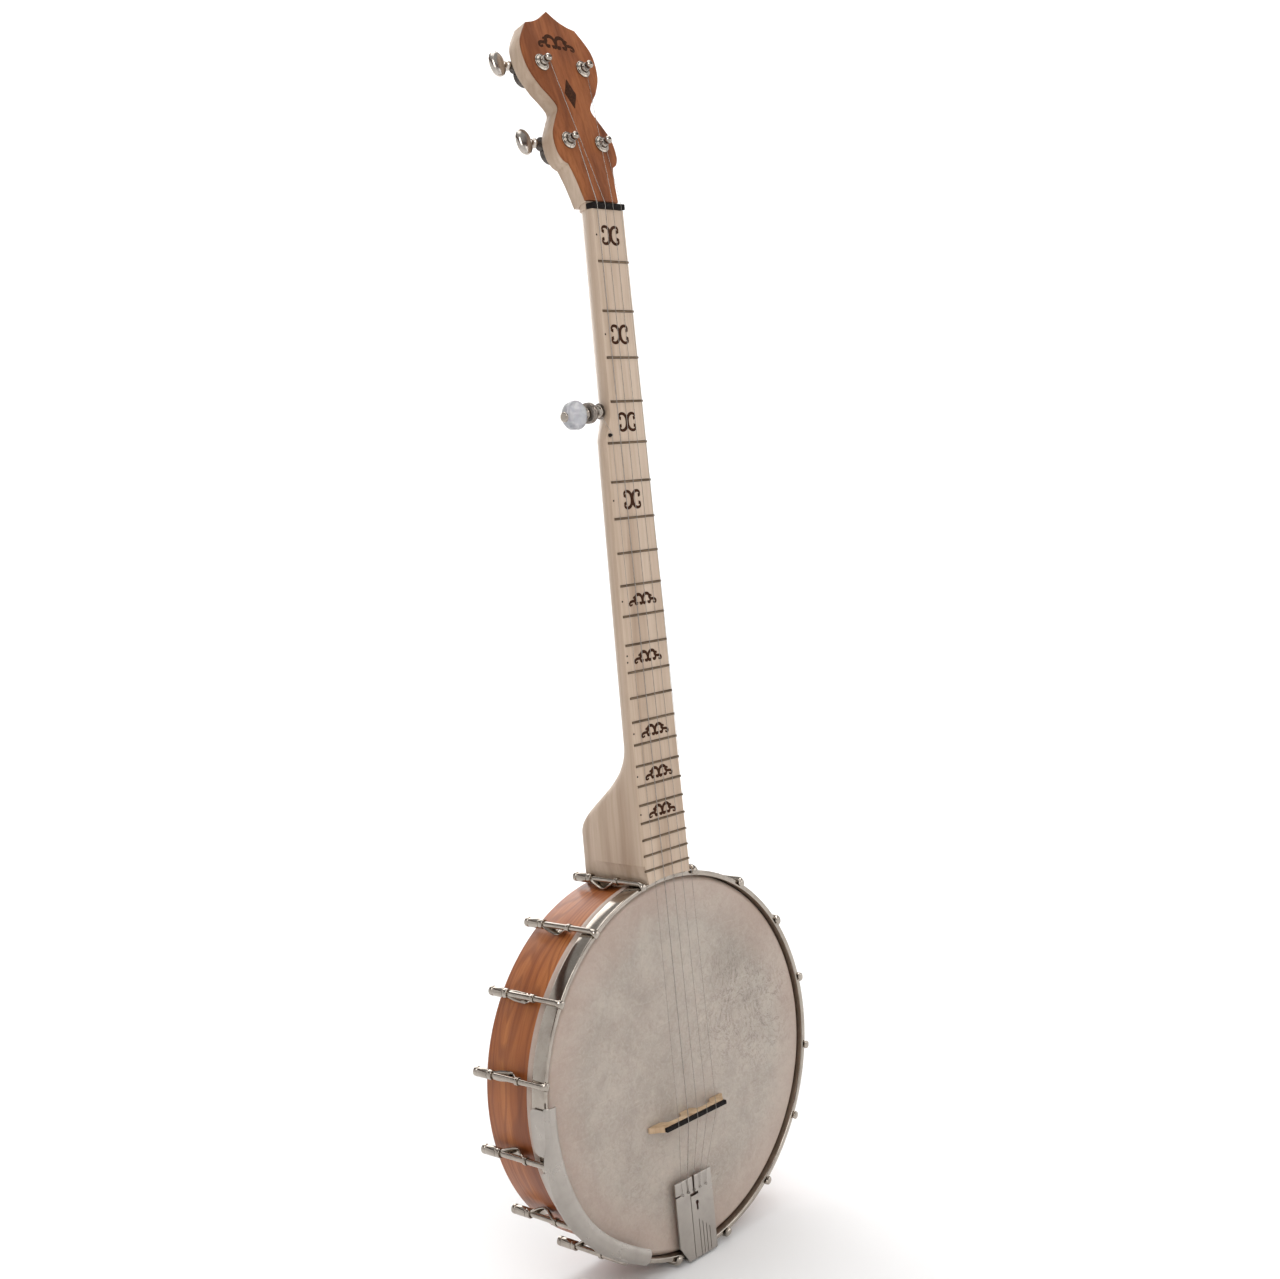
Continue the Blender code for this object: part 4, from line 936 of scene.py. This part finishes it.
for number in range(1, BRACKET_COUNT + 1):
    place = POT @ Matrix.Rotation(bracket_angle(number), 4, "Z")
    for label, build, material in (
            ("hook", hook_mesh, polished), ("hook_nut", hook_nut_mesh, polished),
            ("shoe", shoe_mesh, polished), ("shoe_bolt", shoe_bolt_mesh, rod_metal)):
        bm = bmesh.new()
        build(bm, place)
        add_piece("%s_%02d" % (label, number), bm, material,
                  ["bracket_%02d" % number] if label == "hook" else ())

# ---------------------------------------------------------------- coordinator rod and tail bolt
ROD_DEPTH = 0.048
HEAD_THICKNESS = 0.0003
TAIL_PLATE = 0.0018
ROD = moved(INSTRUMENT, 0, ROD_DEPTH, -POT_DROP)
rod_end = RIM_INNER - 0.001
bm = bmesh.new()
profile = [(0, 0.1605), (0.003, 0.1605), (0.003, rod_end), (0.0045, rod_end),
           (0.0045, -rod_end), (0, -rod_end)]
turn(bm, rounded(profile, 0.0003), ROD, 40)
add_piece("rod", bm, rod_metal, ["coordinator_rod"])
bm = bmesh.new()
for side in (-1, 1):
    end = moved(ROD, 0, 0, side * rod_end, 90 + 90 * side)
    lathe(bm, [(4.4, 0), (7.8, 0), (7.8, 1.2), (4.4, 1.2)], end, 40, 0.3, True)
    lathe(bm, [(4.4, 1.2), (7.2, 1.2), (7.4, 2), (7.4, 4.6), (6.8, 5.2), (4.4, 5.2)], end, 6,
          0.3, True)
add_piece("rod_nuts", bm, rod_metal)
bolt_head = moved(ROD, 0, 0, -RIM_RADIUS - HEAD_THICKNESS - TAIL_PLATE - 0.0002, 180)
bolt_start = -(RIM_RADIUS + HEAD_THICKNESS + TAIL_PLATE + 0.0002 - rod_end - 0.0005) * 1000
bm = bmesh.new()
lathe(bm, [(0, bolt_start), (3, bolt_start), (3, 0), (6.6, 0), (6.6, 1), (0, 1)], bolt_head, 36,
      0.3)
lathe(bm, [(0, 1), (5, 1), (5.2, 4.4), (4.4, 5.6), (0, 5.8)], bolt_head, 6, 0.6)
add_piece("tail_bolt_head", bm, polished, ["tail_bolt"])

# ---------------------------------------------------------------- tailpiece
tail_low, tail_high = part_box("tailpiece")
TAIL_TOP = ORIGIN.z - POT_DROP - tail_high.z
TAIL_FOLD = 0.1474
TAIL_FRONT = tail_low.y - ORIGIN.y
TAIL_LEFT = tail_low.x
TAIL_RIGHT = tail_high.x
TAIL_CENTRE = (TAIL_LEFT + TAIL_RIGHT) / 2
TAIL_CORNER = 0.1335
TAIL_STRAP_LEFT = -0.0172


def tail_left_edge(z):
    share = (-TAIL_CORNER - z) / (TAIL_FOLD - TAIL_CORNER)
    return blend(TAIL_LEFT, TAIL_STRAP_LEFT, min(max(share, 0), 1))


def add_tailpiece():
    rest = RIM_RADIUS + HEAD_THICKNESS
    front = TAIL_FRONT
    back = front + TAIL_PLATE
    side = [
        (front, -TAIL_TOP), (front, -TAIL_CORNER), (front, -TAIL_FOLD + 0.006),
        (front, -TAIL_FOLD), (0.026, -TAIL_FOLD), (0.033, -rest - TAIL_PLATE),
        (0.057, -rest - TAIL_PLATE), (0.057, -rest), (0.0322, -rest),
        (0.0252, -TAIL_FOLD + TAIL_PLATE), (back, -TAIL_FOLD + TAIL_PLATE),
        (back, -TAIL_FOLD + 0.006), (back, -TAIL_CORNER), (back, -TAIL_TOP)]
    side = rounded(side, 0.0016, True, 5)
    pot_centre = moved(INSTRUMENT, 0, 0, -POT_DROP)
    soft = 0.0004
    rings = []
    for end, inset, ease in ((-1, soft, 0), (-1, soft * 0.3, soft * 0.3), (-1, 0, soft),
                             (1, 0, soft), (1, soft * 0.3, soft * 0.3), (1, soft, 0)):
        rings.append([])
        for point in shrunk(side, inset):
            x = tail_left_edge(point.y) if end < 0 else TAIL_RIGHT
            rings[-1].append(pot_centre @ Vector((x - end * ease, point.x, point.y)))
    bm = bmesh.new()
    loft(bm, rings)
    body = finish_mesh(bm, "tail_body")

    # Slots and string grooves, from the middle of the plate's upper edge.
    place = moved(pot_centre, TAIL_CENTRE, 0, -TAIL_TOP)
    boxes = [((left, -0.01, low), (right, 0.01, high), 0.0002) for left, right, low, high in (
        (-0.0012, 0.001, -0.013, 0.01), (-0.0048, 0.0042, -0.015, -0.0128),
        (0.0012, 0.003, -0.027, -0.021), (-0.023, -0.015, -0.0108, -0.0096),
        (0.0198, 0.023, -0.006, 0.01))]
    fold = TAIL_TOP - TAIL_FOLD
    grooves = [(-0.0046, -0.015)]
    grooves += [(0.0024 + 0.0036 * step, fold + 0.029 - 0.003 * step) for step in range(4)]
    boxes += [((x - 0.00032, front - 0.004, fold - 0.01), (x + 0.00032, front + 0.00065, top),
               0.00005) for x, top in grooves]
    cutters = []
    for low, high, edge in boxes:
        bm = bmesh.new()
        block(bm, low, high, place, edge)
        cutters.append(finish_mesh(bm, "slot"))
    bm = bmesh.new()
    lathe(bm, [(0, -10), (1.7, -10), (1.7, 10), (0, 10)], moved(place, 0.0021, 0, -0.0212, 90), 24)
    cutters.append(finish_mesh(bm, "keyhole"))
    add_piece("tailpiece_plate", cut("tailpiece_plate", body, cutters), satin, ["tailpiece"])


add_tailpiece()

# ---------------------------------------------------------------- armrest
ARM_START = 84
ARM_END = 153
ARM_FRONT = -0.0042
ARM_PLATE = 0.0014
ARM_EDGE = 0.0004
ARM_STEPS = 96
CLIP_STEPS = 32


def armrest_inner(angle):
    return blend(0.1392, 0.1335, smoothstep((angle - 118) / 34))


def armrest_outer(angle):
    widening = smoothstep((angle - 92) / 8) * (1 - smoothstep((angle - 112) / 26))
    return blend(0.15, 0.1555, widening) - 0.0045 * smoothstep((angle - 132) / 20)


def around_pot(radius, angle, depth):
    turned = radians(angle)
    return INSTRUMENT @ Vector((-radius * sin(turned), depth,
                                radius * cos(turned) - POT_DROP))


def armrest_section(angle, inset):
    inner = armrest_inner(angle) + inset + ARM_EDGE
    outer = armrest_outer(angle) - inset - ARM_EDGE
    upper = []
    for step in range(19):
        share = step / 18
        drop = 0.0012 * max(0, 1 - share / 0.4) ** 2 + 0.0026 * max(0, (share - 0.6) / 0.4) ** 2.2
        upper.append((blend(inner, outer, share), ARM_FRONT + drop))
    lower = [(radius, depth + ARM_PLATE) for radius, depth in upper]
    tip = [(outer + ARM_EDGE, upper[-1][1] + ease) for ease in (ARM_EDGE, ARM_PLATE - ARM_EDGE)]
    root = [(inner - ARM_EDGE, upper[0][1] + ease) for ease in (ARM_PLATE - ARM_EDGE, ARM_EDGE)]
    outline = upper + tip + list(reversed(lower)) + root
    return [around_pot(radius, angle, depth) for radius, depth in outline]


angles = [ARM_START, ARM_START + 0.15]
angles += [blend(ARM_START + 0.3, ARM_END - 0.3, step / ARM_STEPS)
           for step in range(ARM_STEPS + 1)]
angles += [ARM_END - 0.15, ARM_END]
insets = [0.0007, 0.0002] + [0.0] * (ARM_STEPS + 1) + [0.0002, 0.0007]
bm = bmesh.new()
loft(bm, [armrest_section(angle, inset) for angle, inset in zip(angles, insets)])
inner = HOOP_OUTER + 0.0006
for start, end in ((85.2, 98.6), (104.0, 121.2), (126.4, 143.6)):
    rings = []
    for step in range(CLIP_STEPS + 1):
        share = step / CLIP_STEPS
        ease = min(share, 1 - share) * (end - start) / 1.2
        depth = HOOP_BACK - 0.0025 * (1 - smoothstep(ease))
        outline = [(inner, -0.0034), (inner + 0.0012, -0.0034), (inner + 0.0012, depth - 0.0004),
                   (inner + 0.0008, depth), (inner + 0.0004, depth), (inner, depth - 0.0004)]
        rings.append([around_pot(radius, blend(start, end, share), depth)
                      for radius, depth in outline])
    loft(bm, rings)
add_piece("armrest_plate", bm, satin, ["armrest"])

# ---------------------------------------------------------------- bridge
bridge_low, bridge_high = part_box("bridge")
BRIDGE_HEIGHT = bridge_high.y - bridge_low.y
BRIDGE_SPACING = 0.0105
BRIDGE = moved(Matrix.Identity(4), (bridge_low.x + bridge_high.x) / 2, bridge_high.y,
               (bridge_low.z + bridge_high.z) / 2, 180)
half_foot = (bridge_high.x - bridge_low.x) / 2
half_top = half_foot - 0.0078
bridge_half = [
    (half_top - 0.0005, BRIDGE_HEIGHT - 0.0022), (half_foot - 0.006, 0.0075),
    (half_foot, 0.002), (half_foot, 0), (half_foot - 0.014, 0), (half_foot - 0.017, 0.0048),
    (0.013, 0.006), (0.008, 0.0042), (0.0065, 0)]
outline = bridge_half + [(-x, y) for x, y in reversed(bridge_half)]
bm = bmesh.new()
plate(bm, rounded(outline, 0.0022, True, 5), -0.0021, 0.0021, BRIDGE, 0.0004)
add_piece("bridge_body", bm, bridge_maple, ["bridge"])
top = [(half_top, BRIDGE_HEIGHT - 0.0026), (half_top, BRIDGE_HEIGHT)]
for x in [(3 - number) * BRIDGE_SPACING for number in range(1, 6)]:
    top += [(x + 0.0007, BRIDGE_HEIGHT), (x + 0.0003, BRIDGE_HEIGHT - 0.00035),
            (x - 0.0003, BRIDGE_HEIGHT - 0.00035), (x - 0.0007, BRIDGE_HEIGHT)]
top += [(-half_top, BRIDGE_HEIGHT), (-half_top, BRIDGE_HEIGHT - 0.0026)]
bm = bmesh.new()
plate(bm, top, -0.0016, 0.0016, BRIDGE, 0.00025)
add_piece("bridge_cap", bm, black)

# ---------------------------------------------------------------- tuners
TUNERS = ("bass_lower", "bass_upper", "treble_lower", "treble_upper")
CASE_FRONT = -0.0143
CASE_BACK = CASE_FRONT - 0.0118
BUTTON_ROWS = 18
BUTTON_STEPS = 40


def pillow(bm, half_x, half_y, half_z, place):
    """A soft oval button, flatter than an ellipsoid on its faces."""
    rings = []
    for row in range(BUTTON_ROWS + 1):
        rise = pi * row / BUTTON_ROWS - pi / 2
        size = signed_power(cos(rise), 0.62)
        height = half_z * signed_power(sin(rise), 0.8)
        rings.append(ring_verts(bm, half_x * size, half_y * size, height, place, BUTTON_STEPS,
                                0.92))
    stitch(bm, rings)


def peghead_at(joint):
    """The peghead's frame, moved to a joint's place."""
    return PEGHEAD @ Matrix.Translation(PEGHEAD.inverted() @ joint_place(joint))


def add_tuner(name):
    axis = peghead_at("turn_post_" + name)
    bm = bmesh.new()
    lathe(bm, [(3.3, 2.4), (4.4, 2.4), (5, 1.4), (6.4, 1.1), (6.4, 0), (4.2, 0), (4.2, -11),
               (3.3, -11)], axis, 36, 0.4, True)
    add_piece("bushing_" + name, bm, polished, ["tuner_bushing_" + name])
    bm = bmesh.new()
    lathe(bm, [(0, 10), (1.6, 9.9), (2.9, 8.7), (3, 7.4), (2.2, 6.4), (2.2, 4.2), (3, 3.2),
               (3, -15), (0, -15)], axis, 32, 0.6)
    add_piece("post_" + name, bm, polished, ["tuner_post_" + name], body="tuner_post_" + name)

    bm = bmesh.new()
    half_plate = [(0.0082, 0.0118), (0.0082, -0.004), (0.0031, -0.0075), (0.0029, -0.013)]
    outline = half_plate + [(-x, y) for x, y in reversed(half_plate)]
    plate(bm, rounded(outline, 0.0022, True, 4), CASE_FRONT - 0.0015, CASE_FRONT, axis, 0.0003)
    lathe(bm, [(0, 1), (5.6, 1), (7.4, 2.4), (7.8, 3.4), (7.8, 10.8), (0, 10.8)],
          moved(axis, 0, 0, CASE_BACK), 40, 0.7)
    lathe(bm, [(0, -8.4), (5, -8.4), (5, -6.2), (4.3, -5.5), (4.3, 5.5), (5, 6.2), (5, 8.4),
               (0, 8.4)], moved(axis, 0, 0.0067, -0.02, 90, "Y"), 32, 0.6)
    block(bm, (-0.0062, 0.0015, CASE_BACK + 0.0022), (0.0062, 0.0112, CASE_FRONT - 0.0008),
          axis, 0.0008)
    add_piece("gear_case_" + name, bm, gear_metal, ["tuner_case_" + name])
    bm = bmesh.new()
    for y, z, crown, flat, width in ((-0.0105, CASE_FRONT - 0.0015, 1, 1.2, 2),
                                     (0, CASE_BACK + 0.0011, 0.8, 1.8, 2.6)):
        lathe(bm, [(0, -crown), (flat, 0.1 - crown), (width, 0), (0, 0)], moved(axis, 0, y, z),
              20, 0.3)
    add_piece("case_screws_" + name, bm, polished)

    facing = 180 if name.startswith("bass") else 0
    centre = moved(peghead_at("turn_button_" + name), 0, 0, 0, facing, "Z")
    bm = bmesh.new()
    pillow(bm, 0.0066, 0.0097, 0.0034, centre)
    lathe(bm, [(0, -27), (2.3, -27), (2.3, -11.2), (3.6, -10.8), (3.8, -8.8), (2.8, -7.8),
               (2.6, -6.2), (3.6, -4.5), (0, -2)], moved(centre, 0, 0, 0, 90, "Y"), 28, 0.6)
    add_piece("button_" + name, bm, satin_button, ["tuner_button_" + name],
              "tuner_button_" + name)


for name in TUNERS:
    add_tuner(name)

# ---------------------------------------------------------------- fifth-string peg
PEG_TILT = 5
PEG_CENTRE = 0.0262
FIFTH = moved(Matrix.Translation(joint_place("turn_fifth_peg_button")), 0, 0, 0,
              -90 - PEG_TILT, "Y")
bm = bmesh.new()
lathe(bm, [(0, 14), (6, 14), (7.6, 13.6), (7.6, 12.6), (7, 12.2), (7, 11.6), (7.6, 11.2),
           (7.6, 10.2), (6.4, 8.2), (1.4, 8.2), (1.4, 0.7), (5.8, 0.7), (5.8, 0.2), (3.6, -0.6),
           (3.6, -8), (0, -8)], FIFTH, 40, 0.4)
add_piece("fifth_housing", bm, housing_metal, ["fifth_peg_core"])
bm = bmesh.new()
lathe(bm, [(4.5, 7.9), (4.5, 6.8), (3, 5.8), (3, 2.8), (4.5, 1.8), (4.5, 0.9), (1.8, 0.9),
           (1.8, 7.9)], FIFTH, 36, 0.5, True)
add_piece("fifth_drum", bm, polished, ["fifth_peg_post"], body="fifth_peg_post")
bm = bmesh.new()
lathe(bm, [(0, -3.4), (8.5, -3.9), (10.5, -2.8), (10.5, 2.8), (8.5, 3.9), (0, 3.4)],
      moved(FIFTH, 0, 0, PEG_CENTRE, 90), 56, 1.6, False, 4)
add_piece("fifth_button", bm, pearl, ["fifth_peg_button"], body="fifth_peg_button")
bm = bmesh.new()
lathe(bm, [(0, 14.3), (4.2, 14.3), (4.2, 15.2), (3, 15.8), (3, 17.5), (0, 17.5)], FIFTH, 28, 0.4)
lathe(bm, [(0, 35.5), (3.6, 35.5), (3.8, 36.2), (3.4, 37.2), (1.8, 37.6), (0, 37.6)], FIFTH, 28,
      0.5)
add_piece("fifth_button_screw", bm, polished, body="fifth_peg_button")

# ---------------------------------------------------------------- strings
POINTS_PER_TURN = 22
POST_TURNS = 3.2
TO_INSTRUMENT = INSTRUMENT.inverted() @ PEGHEAD
face_out = (TO_INSTRUMENT.to_3x3() @ Vector((0, 0, 1))).normalized()
face_along = (TO_INSTRUMENT.to_3x3() @ Vector((0, 1, 0))).normalized()
face_across = Vector((1, 0, 0))
bridge_middle = BRIDGE.translation - ORIGIN
crown = bridge_low.y - ORIGIN.y


def winding(centre, across, along, radius, start, turns, axis, pitch):
    points = []
    for step in range(int(turns * POINTS_PER_TURN) + 1):
        angle = start + TAU * step / POINTS_PER_TURN
        offset = across * cos(angle) + along * sin(angle)
        points.append(centre + offset * radius + axis * (pitch * step / POINTS_PER_TURN))
    return points


for number, tuner in zip(range(1, 6), ("treble_lower", "treble_upper", "bass_upper",
                                      "bass_lower", None)):
    radius = STRING_RADII[number - 1]
    spread = (3 - number) * BRIDGE_SPACING
    x = bridge_middle.x + spread
    lift = radius - 0.00012
    tail = Vector((TAIL_CENTRE + spread * 0.62, TAIL_FRONT - 0.0006,
                   -POT_DROP - TAIL_TOP - 0.0095))
    lip = Vector((TAIL_CENTRE + spread * 0.68, TAIL_FRONT - 0.001,
                  -POT_DROP - TAIL_TOP + 0.0004))
    route = [tail, lip, Vector((x, crown - lift, bridge_middle.z - 0.0015)),
             Vector((x, crown - lift, bridge_middle.z + 0.0015))]
    if tuner:
        seat = Vector((NUT_X[number - 1], NUT_CROWN - lift + 0.0003, 0))
        route += [seat, seat + Vector((0, 0, NUT_LENGTH))]
        side = -1 if tuner.startswith("bass") else 1
        post = joint_place("turn_post_" + tuner) - ORIGIN
        centre = post + face_out * 0.0059
        route += winding(centre, -side * face_across, -face_along, 0.0022 + radius + 0.0003, 0.3,
                         POST_TURNS, face_out, -2.3 * radius)
    else:
        pip = Vector((PIP.x, -0.0028 - lift, PIP.z - ORIGIN.z))
        route += [pip + Vector((0, 0, -0.001)), pip + Vector((0, 0, 0.001))]
        local = INSTRUMENT.inverted() @ FIFTH
        centre = local @ Vector((0, 0, 0.0049))
        peg_axis = (local.to_3x3() @ Vector((0, 0, 1))).normalized()
        upward = peg_axis.cross(Vector((0, -1, 0))).normalized()
        upward = -upward if upward.z < 0 else upward
        route += winding(centre, Vector((0, -1, 0)), upward, 0.003 + radius + 0.0003, 0,
                         POST_TURNS, peg_axis, -2.3 * radius)
    bm = bmesh.new()
    pipe(bm, route, radius, INSTRUMENT, 8)
    pipe(bm, winding(tail + Vector((0, 0.0002, -0.001)), face_across, Vector((0, 0, 1)), 0.0009,
                     0, 2.0, Vector((0, -1, 0)), 0.0002), radius, INSTRUMENT, 6)
    add_piece("string_run_%d" % number, bm, string_metal, ["string_%d" % number], angle=60)


# ---------------------------------------------------------------- studio
def stage_material(name, colour, shadow):
    """Pale paper with painted shade: brown high up, and lower down behind the viewer, for metal to
    reflect.
    """
    made = Shader(name, 0.9)
    cloud = made.noise(0.7, 3, 0.5)
    paper = made.laid(colour, (0.8, 0.8, 0.8, 1), cloud, 0.3, 0.7, 0.04)
    behind = made.vector("DOT_PRODUCT", made.coords, (-0.75, -0.66, 0.0))["Value"]
    height = made.axes(made.coords)["Z"]
    low_dark = made.maths("MULTIPLY", made.levels(behind, 1.6, 2.6), made.levels(height, 0.95, 1.2))
    dark = made.maths("MAXIMUM", low_dark, made.levels(height, 1.5, 1.75))
    return made.output(made.mix(dark, paper, shadow))


def add_studio():
    """A wide pale bowl: a flat floor that turns up into a low wall all round."""
    low = cad_low.z - 0.001
    flat, bend, top = 2.6, 1.2, 3.4
    profile = [(0, 0), (1.5, 0), (flat, 0)]
    for step in range(1, 13):
        angle = pi / 2 * step / 12
        profile.append((flat + bend * sin(angle), bend * (1 - cos(angle))))
    profile.append((flat + bend, top))
    bm = bmesh.new()
    turn(bm, profile, Matrix.Translation((0, 0.05, low)), 96)
    mesh = finish_mesh(bm, "studio_floor", 60)
    mesh.materials.append(stage_material("studio_paper", (0.92, 0.92, 0.92, 1),
                                         (0.13, 0.075, 0.06, 1)))
    floor = bpy.data.objects.new("studio_floor", mesh)
    scene.collection.objects.link(floor)


def add_light(name, place, target, size, power):
    data = bpy.data.lights.new(name, "AREA")
    data.shape = "RECTANGLE"
    data.size = size[0]
    data.size_y = size[1]
    data.energy = power
    light = bpy.data.objects.new(name, data)
    scene.collection.objects.link(light)
    light.location = place
    direction = Vector(target) - Vector(place)
    light.rotation_euler = direction.to_track_quat("-Z", "Y").to_euler()


add_studio()
add_light("key", (-1.5, -2.0, 1.4), (0, 0, -0.45), (1.4, 1.4), 30)
add_light("wall", (1.0, 1.3, 2.6), (2.6, 2.9, 0.4), (2.2, 1.4), 70)
add_light("fill", (1.6, -2.0, 0.3), (0, 0, -0.45), (1.6, 1.6), 9)
add_light("top", (0.2, 0.2, 2.2), (0, 0, -0.4), (2.4, 2.4), 32)
add_light("back", (0.8, 2.3, 0.6), (0, 0, -0.5), (1.6, 1.6), 22)
world = bpy.data.worlds.new("studio_air")
scene.world = world
world.use_nodes = True
air = world.node_tree.nodes["Background"].inputs
air["Color"].default_value = (1, 1, 1, 1)
air["Strength"].default_value = 0.39
scene.view_settings.view_transform = "Standard"
